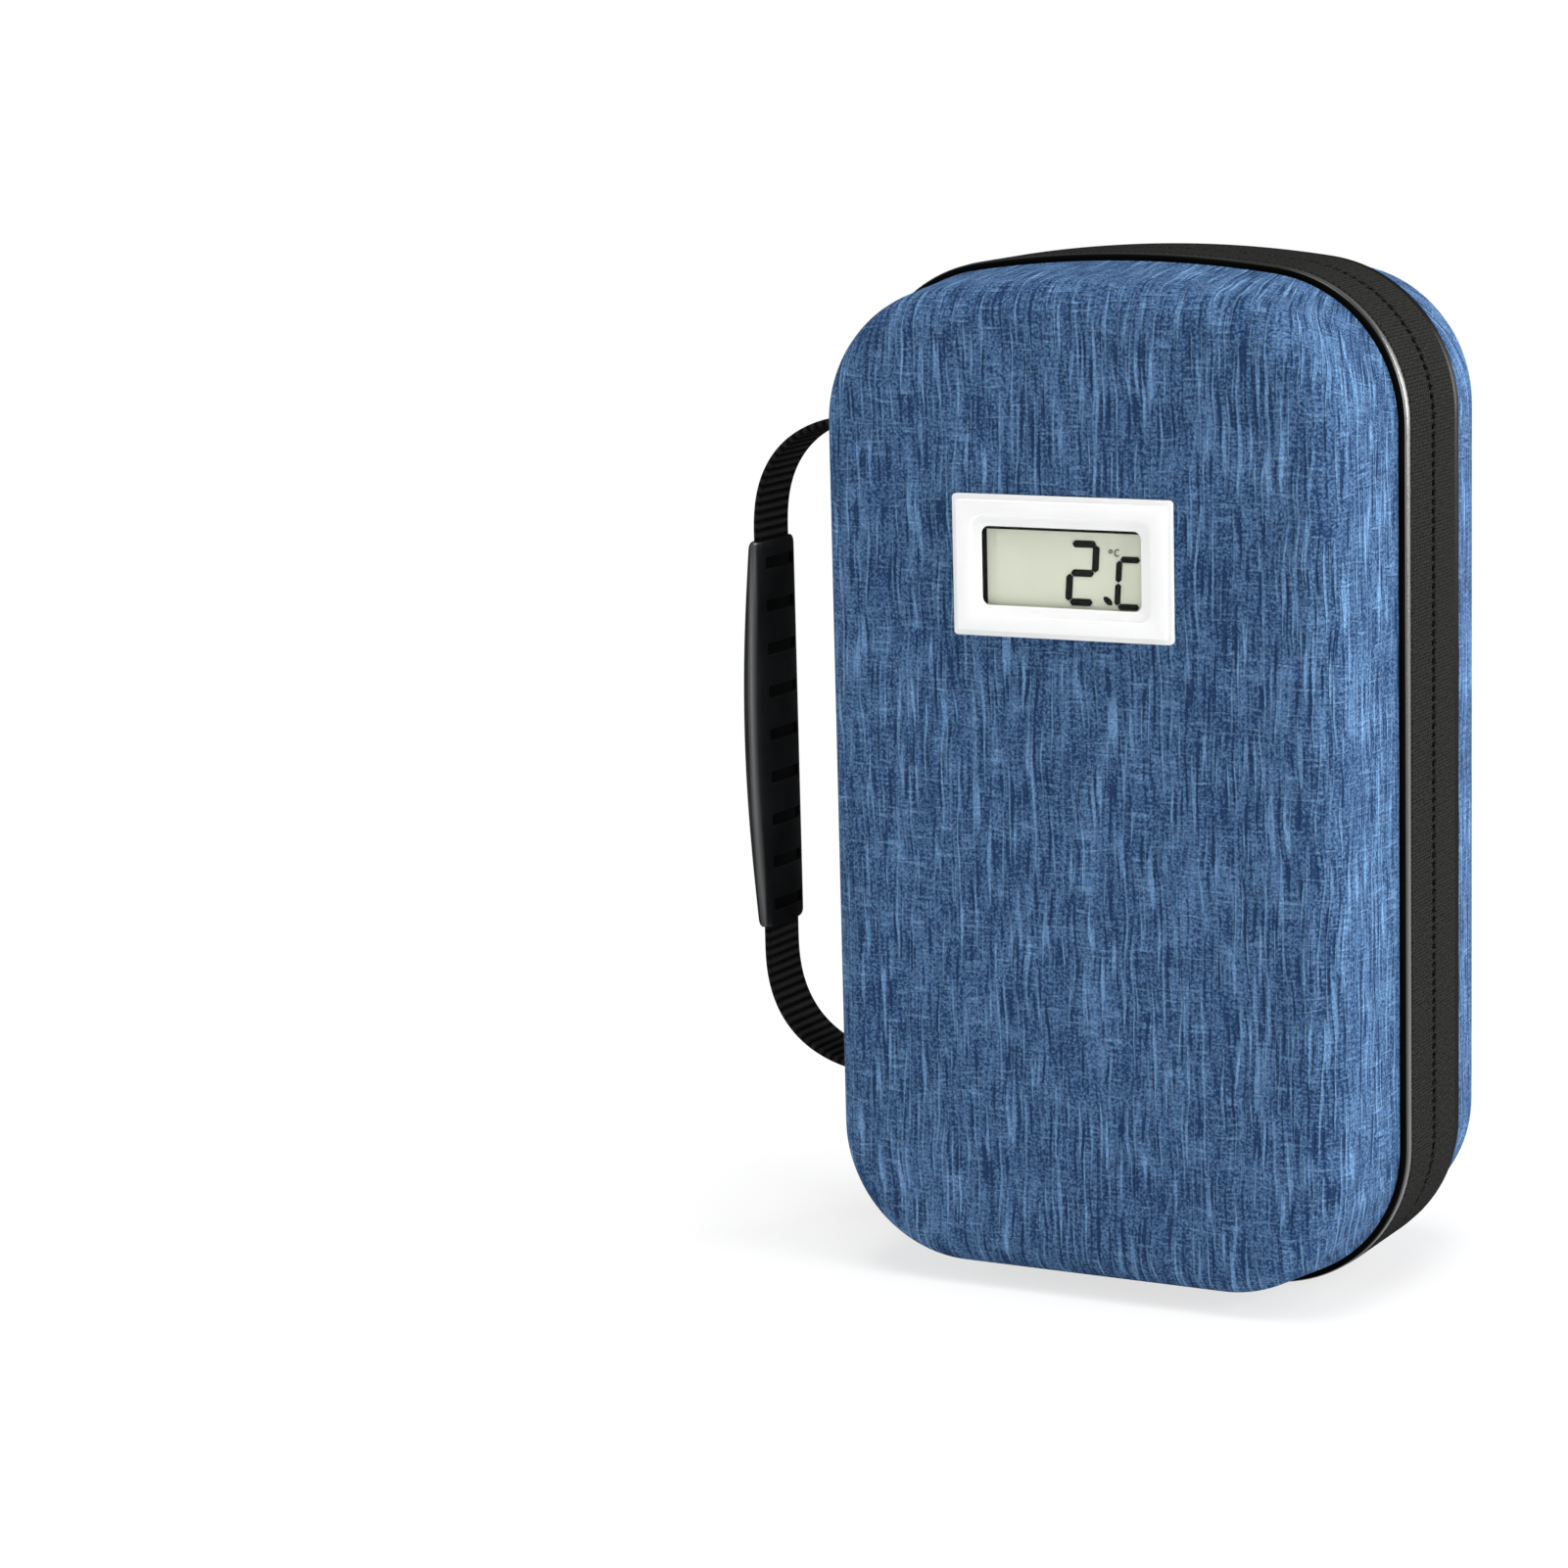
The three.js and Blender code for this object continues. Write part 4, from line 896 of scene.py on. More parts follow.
def grip_plastic():
    """Black moulding with a glossy line on its corners and painted shade on its grooved face and grooves."""
    size = sizes()
    low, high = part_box("handle_grip")
    middle, half = (low + high) / 2 / MM, (high - low) / 2 / MM
    line = strap_line() / MM
    bow = (2 * line - (low.x + high.x) / MM) * 0.6
    gloss_start, gloss_full, gloss_end = line - 2.6, line - 1.2, line + 0.2
    corner_start, corner_full = half.y - 2.0, half.y - 1.2
    groove_pitch, groove_width = size.groove_pitch / MM, size.groove_width / MM
    groove_end, groove_full = half.y - 2.2, half.y - 2.9
    painted_groove_shade, painted_face_shade = 0.80, 0.70
    face_start, face_cut, face_full = line + 0.3, line + 0.8, line + 2.5

    def corners(tree, place_mm):
        x, y, z = parts(tree, place_mm)
        share = calc(tree, "DIVIDE", calc(tree, "SUBTRACT", z, middle.z), half.z)
        x = calc(tree, "SUBTRACT", x, times(tree, share, share, bow))
        rise, fall = remap(tree, x, gloss_start, gloss_full), remap(tree, x, gloss_end, gloss_full)
        return times(tree, rise, fall, remap(tree, apart(tree, y, middle.y), corner_start, corner_full))

    # Painted shade: the colour goes darker in the finger grooves and across the face towards the case, where
    # shade falls.
    def grooves(tree, place_mm):
        x, y, z = parts(tree, place_mm)
        away = calc(tree, "PINGPONG", calc(tree, "SUBTRACT", z, middle.z), groove_pitch / 2)
        rows = remap(tree, away, 0.60 * groove_width, 0.50 * groove_width, 0.0, painted_groove_shade)
        ends = remap(tree, apart(tree, y, middle.y), groove_end, groove_full)
        cut = times(tree, rows, ends, remap(tree, x, face_start, face_cut))
        return calc(tree, "MAXIMUM", cut, remap(tree, x, face_start, face_full, 0.0, painted_face_shade))

    return finish(
        "grip_moulding", moulded_grain, grains(0.22, 16.0), "grip", 0.3, 0.006, (0.5, 0.6),
        polish=corners, shadow=grooves, Specular_IOR_Level=0.0, Coat_Roughness=0.30, Coat_IOR=1.85,
    )


def housing_moulding():
    """White moulding with a painted shade on the ledge round its face, for the shade at its step."""
    low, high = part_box("thermometer_housing")
    middle, half = (low + high) / 2 / MM, (high - low) / 2 / MM
    ledge_inner, ledge_outer, ledge_painted_shade = -1.25, -1.05, 0.12

    # Painted shade: the colour goes a little darker on the ledge, standing in for the shade of the step down
    # from the face.
    def ledge(tree, place_mm):
        x, _, z = parts(tree, place_mm)
        across = calc(tree, "SUBTRACT", apart(tree, x, middle.x), half.x)
        upward = calc(tree, "SUBTRACT", apart(tree, z, middle.z), half.z)
        return remap(tree, calc(tree, "MAXIMUM", across, upward), ledge_inner, ledge_outer, 0.0, ledge_painted_shade)

    return finish("housing_moulding", **PLAIN_FINISHES["white_moulding"], shadow=ledge)


# Operators


class CASE_OT_shells(bpy.types.Operator):
    """Make the two moulded cloth shells"""

    bl_idname = "cooling_case.shells"
    bl_label = "Shells"
    bl_options = {"REGISTER", "UNDO"}

    def execute(self, context):
        size = sizes()
        wall = size.shell_wall
        for half, side in HALVES:
            low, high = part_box(f"{half}_shell")
            depth = high.y - low.y
            outer = tray_wall(0.0, depth, size.edge_radius, 10)
            inner = tray_wall(wall, depth - wall, size.edge_radius - wall, 5)
            mesh = tray(f"shell_{half}", side, outer, inner, FINE_STEP)
            if side == FRONT:
                mesh = thermometer_hole(mesh, size.lining_gap)
            place(f"shell_{half}", mesh, plain("blue_melange_cloth"), f"{half}_shell")
        return {"FINISHED"}


class CASE_OT_linings(bpy.types.Operator):
    """Make the two insulating linings with their collars"""

    bl_idname = "cooling_case.linings"
    bl_label = "Linings"
    bl_options = {"REGISTER", "UNDO"}

    def execute(self, context):
        size = sizes()
        outside = size.shell_wall + size.lining_gap
        inside = outside + size.lining_wall
        lip = size.lining_wall / 2
        for half, side in HALVES:
            low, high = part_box(f"{half}_lining")
            shell_low, shell_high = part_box(f"{half}_shell")
            depth = shell_high.y - shell_low.y
            collar = (high.y - RIM_Y[side]) if side == FRONT else (RIM_Y[side] - low.y)
            fold = arc(outside + lip, lip - collar, lip, HALF_TURN, FULL_TURN, 6)
            outer = tray_wall(outside, depth - outside, size.edge_radius - size.shell_wall, 4)
            inner = tray_wall(inside, depth - inside, size.lining_edge, 6)
            outer = [*reversed(fold[:4]), *outer[1:]]
            inner = [*fold[4:], *inner[1:]]
            mesh = tray(f"lining_{half}", side, outer, inner, COARSE_STEP)
            if side == FRONT:
                mesh = thermometer_hole(mesh, size.lining_gap, clips=3 * MM)
            piece = place(f"lining_{half}", mesh, plain("foil_lining"), f"{half}_lining")
        return {"FINISHED"}


class CASE_OT_zip(bpy.types.Operator):
    """Make the piping, zip tapes and zip coils"""

    bl_idname = "cooling_case.zip"
    bl_label = "Zip band"
    bl_options = {"REGISTER", "UNDO"}

    def execute(self, context):
        for half, side in HALVES:
            self.piping(half, side)
            self.tape(half, side)
            self.coil(half, side)
        return {"FINISHED"}

    def piping(self, half, side):
        """A cord under vinyl: a flank towards the shell, a round shoulder and a flat crown up to the tape."""
        low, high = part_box(f"{half}_piping")
        shell_y = low.y if side == FRONT else high.y
        shoulder, corner, foot, fall, lap = 0.95 * MM, 0.25 * MM, 0.6 * MM, 0.1 * MM, 0.25 * MM
        width, top = high.y - low.y + lap, high.x - sizes().rim_width / 2
        base = top - width + foot
        ring = [
            (base, 0.0),
            *arc(top - shoulder, shoulder, shoulder, -QUARTER_TURN, 0, 8),
            *arc(top - fall - corner, width - corner, corner, 0, QUARTER_TURN, 8),
            *arc(base, width - foot, foot, QUARTER_TURN, HALF_TURN, 8),
            *arc(base, foot, foot, HALF_TURN, HALF_TURN + QUARTER_TURN, 8)[:-1],
        ]
        section = [(offset, shell_y - side * across) for offset, across in ring]
        mesh = swept(f"piping_{half}", rim_outline(FINE_STEP), section, loop=True)
        place(f"piping_{half}", mesh, piping_vinyl(half), f"{half}_piping")

    def tape(self, half, side):
        """A tape whose inner edge is drawn in between the teeth, which leaves a row of small dark holes."""
        size = sizes()
        pitch = size.tooth_pitch
        low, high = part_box(f"zip_tape_{half}")
        far = low.y if side == FRONT else high.y
        top = high.x - size.rim_width / 2
        under, outer_edge, inner_edge = top - 0.85 * MM, top - 0.25 * MM, top - 0.2 * MM
        rise = side * 0.3 * MM
        hole, closest = 0.78 * pitch / 2, 0.12 * MM
        outline = rim_outline(pitch / POINTS_A_TOOTH, closed=False)
        run = path_length(outline[0])

        def section(i):
            from_hole = (run[i] + pitch / 2) % pitch - pitch / 2
            bow = math.sqrt(max(0.0, 1 - (from_hole / hole) ** 2))
            near = SPLIT_Y + side * (closest + (size.tape_slit / 2 - closest) * bow)
            return [
                (under, far), (outer_edge, far), (top, far - rise), (top, near + 4 * rise),
                (top, near + rise), (inner_edge, near), (under, near),
            ]

        mesh = swept(f"tape_{half}", outline, section, loop=False)
        place(f"tape_{half}", mesh, plain("zip_tape_cloth"), f"zip_tape_{half}")

    def coil(self, half, side):
        """A coil: one turn of wire for each tooth, wound along the inside of the tape."""
        size = sizes()
        low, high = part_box(f"zip_coil_{half}")
        wire, drop = size.coil_wire / 2, 0.55 * MM
        top = high.x - size.rim_width / 2 - wire
        middle_y, reach = (low.y + high.y) / 2, (high.y - low.y) / 2 - wire
        points, normals = rim_outline(size.tooth_pitch / POINTS_A_TOOTH, closed=False)
        centre = []
        for point, normal, distance in zip(points, normals, path_length(points)):
            turn = FULL_TURN * distance / size.tooth_pitch
            flat = point + normal * (top - drop + drop * math.cos(turn))
            centre.append((flat[0], middle_y - side * reach * math.sin(turn), flat[1]))
        mesh = tube(f"coil_{half}", centre, wire, 5)
        place(f"coil_{half}", mesh, plain("coil_plastic"), f"zip_coil_{half}")


class CASE_OT_spine(bpy.types.Operator):
    """Make the spine, its lining, its stitching and its two creases at the folds"""

    bl_idname = "cooling_case.spine"
    bl_label = "Spine"
    bl_options = {"REGISTER", "UNDO"}

    def execute(self, context):
        place("spine_outside", eased("spine_panel", 0.5 * MM, 3), plain("spine_cloth"), "spine_panel")
        place("spine_inside", eased("spine_lining", 0.3 * MM), plain("spine_cloth"), "spine_lining")
        low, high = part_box("spine_panel")
        inset = 1.6 * MM
        front, back, bottom, top = low.y + inset, high.y - inset, low.z + inset, high.z - inset
        corners = [(front, bottom), (back, bottom), (back, top), (front, top), (front, bottom)]
        mesh = stitches("spine_stitching", [[(low.x, y, z) for y, z in corners]], (-1, 0, 0))
        place("spine_stitching", mesh, plain("sewing_thread"), "spine_panel", instead=False)
        self.crease("crease_back", "back", high.y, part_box("back_piping")[0].y)
        self.crease("crease_front", "lid", low.y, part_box("front_piping")[1].y)
        return {"FINISHED"}

    def crease(self, name, body, spine_y, piping_y):
        """A strip of cloth from the spine to a shell, dipping a little where it folds."""
        low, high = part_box("spine_panel")
        lap, thick, dip, short = 1.1 * MM, 0.6 * MM, 0.35 * MM, 0.4 * MM
        outside = low.x + 0.55 * MM
        out = math.copysign(1, piping_y - spine_y)
        ys = np.linspace(spine_y - out * lap, piping_y + out * lap, 17)
        middle, span = (spine_y + piping_y) / 2, abs(piping_y - spine_y) / 2
        bow = dip * np.clip(1 - ((ys - middle) / span) ** 2, 0, 1)
        ring = [(outside + b, y) for b, y in zip(bow, ys)]
        ring += [(outside + thick + b, y) for b, y in zip(bow[::-1], ys[::-1])]
        rows = [[(x, y, z) for x, y in ring] for z in np.linspace(low.z + short, high.z - short, 40)]
        piece = show(name, skin(name, rows), plain("spine_cloth"))
        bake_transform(piece)


class CASE_OT_handle(bpy.types.Operator):
    """Make the webbing handle and its moulded grip"""

    bl_idname = "cooling_case.handle"
    bl_label = "Handle"
    bl_options = {"REGISTER", "UNDO"}

    def execute(self, context):
        self.strap()
        self.grip()
        return {"FINISHED"}

    def strap(self):
        """Webbing from a tab behind the spine, out through it, round a bend and through the grip."""
        size = sizes()
        low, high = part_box("handle_strap")
        thick, middle = size.strap_thickness, (low.z + high.z) / 2
        out_x, tab_x = low.x + thick / 2, high.x - thick / 2
        reach = (high.z - low.z) / 2 - thick / 2
        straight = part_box("handle_grip")[1].z - middle + MM
        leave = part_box("spine_panel")[0].x - 0.3 * MM
        knee, tab_length, squareness = 0.8 * MM, 14 * MM, 0.8
        bend = [
            (
                leave + (out_x - leave) * squared(math.sin(t), squareness),
                straight + (reach - straight) * squared(math.cos(t), squareness),
            )
            for t in np.linspace(QUARTER_TURN, 0, 320)
        ]
        fold = arc(tab_x - knee, reach - knee, knee, QUARTER_TURN, 0, 7)
        tab = [(tab_x, z) for z in np.linspace(reach - knee, reach - tab_length, 60)[1:]]
        upper = [*bend, *fold, *tab]
        run = [(out_x, z) for z in np.linspace(-straight, straight, 40)[1:-1]]
        path = [*((x, -z) for x, z in reversed(upper)), *run, *upper]
        path = [(x, z + middle) for x, z in path]
        thinnest, roundness = 0.38, 0.8

        def rib(distance):
            wave = abs(math.sin(math.pi * distance / size.rib_pitch))
            return thinnest + (1 - thinnest) * wave ** roundness

        axes = ((1, 0, 0), (0, 0, 1), (0, 1, 0))
        mesh = strip("strap", path, thick, (low.y + high.y) / 2, (high.y - low.y) / 2, axes, rib)
        place("strap", mesh, webbing_cloth(), "handle_strap")

    def grip(self):
        """A moulding with a crowned back and finger grooves, and a slot for the strap."""
        size = sizes()
        low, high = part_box("handle_grip")
        strap_low, strap_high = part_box("handle_strap")
        middle_y, middle_z = (low.y + high.y) / 2, (low.z + high.z) / 2
        half, half_width = (high.z - low.z) / 2, (high.y - low.y) / 2
        line_x = strap_line()
        inside, outside = high.x - line_x, line_x - low.x
        count, groove, sides, round_end = 9, size.groove_width, 56, 1.6 * MM
        groove_end, groove_full = half_width - 2.4 * MM, half_width - 3.4 * MM
        side_power, face_power = 0.85, 0.9
        grooves = [(i - (count - 1) / 2) * size.groove_pitch for i in range(count)]
        heights = set(np.linspace(-half + round_end, half - round_end, 60))
        for edge in (-0.62, -0.5, -0.38, 0.38, 0.5, 0.62):
            heights.update(z + edge * groove for z in grooves)
        for t in np.linspace(0, QUARTER_TURN, 6):
            height = half - round_end * (1 - math.sin(t))
            heights.update((height, -height))
        rows = []
        for z in sorted(heights):
            end = max(0.0, abs(z) - half + round_end) / round_end
            shrink = 0.5 * round_end * (1 - math.sqrt(max(0.0, 1 - end ** 2)))
            crown = (outside - inside) * (1 - (z / half) ** 2)
            cut = max(smooth_step(0.62 * groove, 0.40 * groove, abs(z - g)) for g in grooves)
            row = []
            for t in (np.arange(sides) + 0.5) * FULL_TURN / sides:
                y = squared(math.cos(t), side_power) * (half_width - shrink)
                x = abs(math.sin(t)) ** face_power
                if math.sin(t) > 0:
                    across = -x * (inside + crown - shrink)
                else:
                    cut_here = cut * smooth_step(groove_end, groove_full, abs(y))
                    across = x * (inside - shrink) - size.groove_depth * cut_here
                row.append((line_x + across, middle_y + y, middle_z + z))
            rows.append(row)
        room = 0.3 * MM
        half_slot = size.strap_thickness / 2 + room
        slot_low = (line_x - half_slot, strap_low.y - room, low.z - MM)
        slot_high = (line_x + half_slot, strap_high.y + room, high.z + MM)
        place("grip", carved(skin("grip", rows), slot_low, slot_high), grip_plastic(), "handle_grip")


class CASE_OT_slider(bpy.types.Operator):
    """Make the zip's slider and pull tab"""

    bl_idname = "cooling_case.slider"
    bl_label = "Zip slider"
    bl_options = {"REGISTER", "UNDO"}

    def execute(self, context):
        for name, node in (("slider", "zip_slider"), ("pull", "zip_pull_tab")):
            place(name, eased(node, sizes().crisp_edge), plain("zip_enamel"), node)
        return {"FINISHED"}


class CASE_OT_thermometer(bpy.types.Operator):
    """Make the panel thermometer, its display and its inside"""

    bl_idname = "cooling_case.thermometer"
    bl_label = "Thermometer"
    bl_options = {"REGISTER", "UNDO"}

    def execute(self, context):
        for node, name, material in (
            ("thermometer_housing", "housing", housing_moulding()),
            ("thermometer_back_cover", "back_cover", plain("white_moulding")),
            ("battery_door", "cell_door", plain("white_moulding")),
        ):
            place(name, eased(node, sizes().crisp_edge, 3), material, node)
        for look, nodes in (
            ("clear_window", ("thermometer_window",)),
            ("display_glass", ("display_glass",)),
            ("black_rubber", ("zebra_strip", "thermistor")),
            ("board_mask", ("circuit_board",)),
            ("bright_steel", ("button_cell_1", "button_cell_2")),
            ("bright_steel", ("cell_contact_1", "cell_contact_2", "cell_link_plate")),
        ):
            for node in nodes:
                dress(node, plain(look))
        self.gasket()
        self.digits()
        return {"FINISHED"}

    def gasket(self):
        """A thin black frame round the display. It sits off centre, so it shows at the left and the top: at
        the top it is a painted shadow of the window's upper edge, at the left the dark side wall of the
        window's recess.
        """
        low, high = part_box("display_glass")
        wide, tall = (high.x - low.x) / 2 / MM, (high.z - low.z) / 2 / MM
        # The opening sits low and to the right, so the frame is widest at the left and the top, where it
        # paints the shadow.
        opening = (-17.05, 17.9, -8.4, 7.25)
        outer, inner = (
            [(left, bottom), (right, bottom), (right, top), (left, top)]
            for left, right, bottom, top in ((-wide, wide, -tall, tall), opening)
        )
        mesh = self.framed("display_gasket", outer, inner, low.y - 0.2 * MM, low.y - 0.06 * MM)
        rubber = plain("black_rubber")
        place("display_gasket", mesh, rubber, "display_glass", instead=False)

    def digits(self):
        """A figure, a point and a unit letter in bars, as such displays show them, drawn in mm."""
        glass_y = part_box("display_glass")[0].y
        front, back = glass_y - 0.13 * MM, glass_y - 0.03 * MM
        two = self.bars([
            ((1.75, 12.45), (5.85, 12.45)), ((6.45, 11.75), (6.45, 7.35)), ((1.75, 6.6), (5.7, 6.6)),
            ((0.95, 5.85), (0.95, 1.45)), ((1.75, 0.75), (5.7, 0.75)),
        ], 1.45, (0.35, -7.55))
        unit = self.bars([
            ((1.25, 10.0), (4.6, 10.0)), ((0.6, 9.3), (0.6, 5.85)), ((0.6, 4.75), (0.6, 1.25)),
            ((1.25, 0.55), (4.9, 0.55)),
        ], 1.25, (11.35, -7.9))
        point_x, point_z, point_slant = 9.9, -6.3, 0.5
        point = arc(point_x, point_z, (1.0, 0.72), 0, FULL_TURN, 20)[:-1]
        point = [(x, z - point_slant * (x - point_x)) for x, z in point]
        mesh = self.raised("display_segments", [*two, *unit, point], front, back)
        place("display_segments", mesh, plain("segment_ink"), "display_glass", instead=False)
        ring, bore = (arc(10.15, 3.6, radius, 0, FULL_TURN, 20)[:-1] for radius in (0.42, 0.24))
        start, end = math.radians(50), math.radians(310)
        outer, inner = (arc(11.4, 3.4, radius, start, end, 15) for radius in ((0.62, 0.75), (0.42, 0.55)))
        mark = joined("display_mark", [
            self.framed("degree_mark", ring, bore, front, back),
            self.raised("unit_mark", [[*outer, *reversed(inner)]], front, back),
        ])
        place("display_mark", mark, plain("faint_ink"), "display_glass", instead=False)

    def bars(self, lines, thick, corner):
        """Bars with pointed ends along lines from a corner."""
        made = []
        for start, end in np.array(lines, float) + corner:
            along = (end - start) / np.linalg.norm(end - start)
            side = np.array([-along[1], along[0]]) * thick / 2
            tip = along * thick * 0.38
            made.append([start - tip, start + side, end + side, end + tip, end - side, start - side])
        return made

    def raised(self, name, shapes, front, back):
        """Flat shapes on the display, in mm from its middle, with a little thickness."""
        low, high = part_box("display_glass")
        middle = (low + high) / 2
        drawn_height = 13.2 * MM
        lean, scale = math.tan(sizes().digit_lean), sizes().digit_height / drawn_height
        meshes = []
        for shape in shapes:
            flat = [((x + lean * z) * MM, z * scale * MM) for x, z in shape]
            rows = [[(middle.x + x, y, middle.z + z) for x, z in flat] for y in (front, back)]
            meshes.append(skin(name, rows))
        return joined(name, meshes)

    def framed(self, name, outer, inner, front, back):
        """A flat frame on the display between two outlines, in mm from its middle."""
        low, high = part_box("display_glass")
        middle = (low + high) / 2
        rows = [
            [(middle.x + x * MM, y, middle.z + z * MM) for x, z in line]
            for line, y in ((outer, back), (outer, front), (inner, front), (inner, back))
        ]
        return skin(name, rows, loop=True)


class CASE_OT_packs(bpy.types.Operator):
    """Make the two cold packs"""

    bl_idname = "cooling_case.packs"
    bl_label = "Cold packs"
    bl_options = {"REGISTER", "UNDO"}

    def execute(self, context):
        for half, seed in (("lid", 1), ("base", 2)):
            name, node = f"cold_pack_{half}", f"gel_pack_{half}"
            piece = place(name, self.pack(name, node, seed), plain("pack_film"), node)
        return {"FINISHED"}

    def pack(self, name, node, seed):
        """A filled pouch: a flat welded rim, sides drawn in at the middle, and puckers beside the weld."""
        low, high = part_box(node)
        middle = (low + high) / 2
        half_x, half_z, half_y = (high.x - low.x) / 2, (high.z - low.z) / 2, (high.y - low.y) / 2
        corner, waist, weld, rim = 22 * MM, 1.2 * MM, 5 * MM, 0.7 * MM
        rim_round, swell_run, pucker_run, pucker_height = 0.3 * MM, 13 * MM, 4 * MM, 0.35 * MM
        pucker_waves, fuller_end = (55, 97, 143, 23), 0.035
        random = np.random.default_rng(seed)
        phase = random.uniform(0, FULL_TURN, len(pucker_waves))
        insets = [0, 0.3, 1.5, 3.0, 4.2, 5, 5.8, 6.8, 8, 9.4, 11, 13, 15.5, 18, 20.5]

        def height(inset, along):
            if inset <= weld:
                edge = 1 - min(1.0, inset / rim_round)
                return rim * (1 - 0.5 * edge)
            fill = min(1.0, (inset - weld) / swell_run)
            swell = math.sqrt(1 - (1 - fill) ** 2) * (1 - fuller_end + fuller_end * math.cos(along))
            pucker = sum(math.sin(along * k + p) for k, p in zip(pucker_waves, phase)) / len(pucker_waves)
            near_weld = math.exp(-(((inset - weld) / pucker_run) ** 2))
            return rim + (half_y - rim) * swell + pucker_height * pucker * near_weld

        def ring(inset):
            wide, tall, radius = half_x - corner, half_z - corner, corner - inset
            points = []
            for sign, turn in ((1, -QUARTER_TURN), (-1, QUARTER_TURN)):
                points += arc(sign * wide, -sign * tall, radius, turn, turn + QUARTER_TURN, 14)
                for s in np.linspace(-1, 1, 23)[1:-1]:
                    drawn = half_x - inset - waist * (0.5 + 0.5 * math.cos(math.pi * s))
                    points.append((sign * drawn, sign * s * tall))
                points += arc(sign * wide, sign * tall, radius, turn + QUARTER_TURN, turn + HALF_TURN, 14)
            return points

        rows = []
        for face, order in ((-1, insets[::-1]), (1, insets)):
            for inset in order:
                rows.append([
                    (middle.x + x, middle.y + face * height(inset * MM, math.atan2(z, x)), middle.z + z)
                    for x, z in ring(inset * MM)
                ])
        return skin(name, rows)


class CASE_OT_pocket(bpy.types.Operator):
    """Make the lid's net pocket, its hem and its elastic binding"""

    bl_idname = "cooling_case.pocket"
    bl_label = "Net pocket"
    bl_options = {"REGISTER", "UNDO"}

    def execute(self, context):
        low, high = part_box("mesh_pocket")
        hem = self.hem(low, high)
        net = place("pocket_net", self.net(low, high), plain("net_cord"), "mesh_pocket")
        edge = eased("pocket_binding", 0.35 * MM)
        binding = place("pocket_edge", edge, plain("elastic_binding"), "pocket_binding")
        return {"FINISHED"}

    def inside(self, x, z, low, high, margin):
        """True where a point is inside the pocket's outline by a margin."""
        radius = sizes().corner_radius - (sizes().rim_width / 2 - high.x)
        centre_x, centre_z = high.x - radius, low.z + radius
        if abs(x) > centre_x and z < centre_z:
            return math.hypot(abs(x) - centre_x, z - centre_z) < radius - margin
        return abs(x) < high.x - margin and low.z + margin < z < high.z - margin / 2

    def net(self, low, high):
        """A net of diagonal cords, knotted where they cross."""
        size = sizes()
        step, margin = size.net_pitch / 2, 0.9 * MM
        y = (low.y + high.y) / 2
        work = bmesh.new()
        knots = {}

        def knot(i, j):
            if (i, j) not in knots:
                knots[i, j] = work.verts.new((i * step, y, low.z + j * step))
            return knots[i, j]

        wide, tall = math.ceil(high.x / step) + 1, math.ceil((high.z - low.z) / step) + 1
        for i in range(-wide, wide + 1):
            for j in range(0, tall + 1):
                around = ((i - 1, j), (i, j - 1), (i + 1, j), (i, j + 1))
                inside = all(self.inside(a * step, low.z + b * step, low, high, margin) for a, b in around)
                if (i + j) % 2 and inside:
                    work.faces.new([knot(a, b) for a, b in around])
        return modified(
            as_mesh(work, "pocket_net"), "WIREFRAME", thickness=size.net_cord, use_even_offset=False,
            use_replace=True, offset=0.0,
        )

    def hem(self, low, high):
        """A tape sewn round the sides and the bottom of the net."""
        points, normals = rim_outline(EVEN_STEP)
        proud, width, edge = 0.05 * MM, 3.2 * MM, 0.25 * MM
        outside = high.x - sizes().rim_width / 2
        inside = outside - width
        keep = (points + normals * outside)[:, 1] < high.z
        first = next(i for i in range(len(keep)) if keep[i] and not keep[i - 1])
        order = [(first + i) % len(keep) for i in range(int(keep.sum()))]
        front, back = low.y - proud, high.y + proud
        section = [
            (outside, front + edge), (outside, back - edge), (outside - edge, back), (inside + edge, back),
            (inside, back - edge), (inside, front + edge), (inside + edge, front), (outside - edge, front),
        ]
        mesh = swept("pocket_hem", (points[order], normals[order]), section, loop=False)
        return place("pocket_hem", mesh, plain("elastic_band"), "mesh_pocket", instead=False)


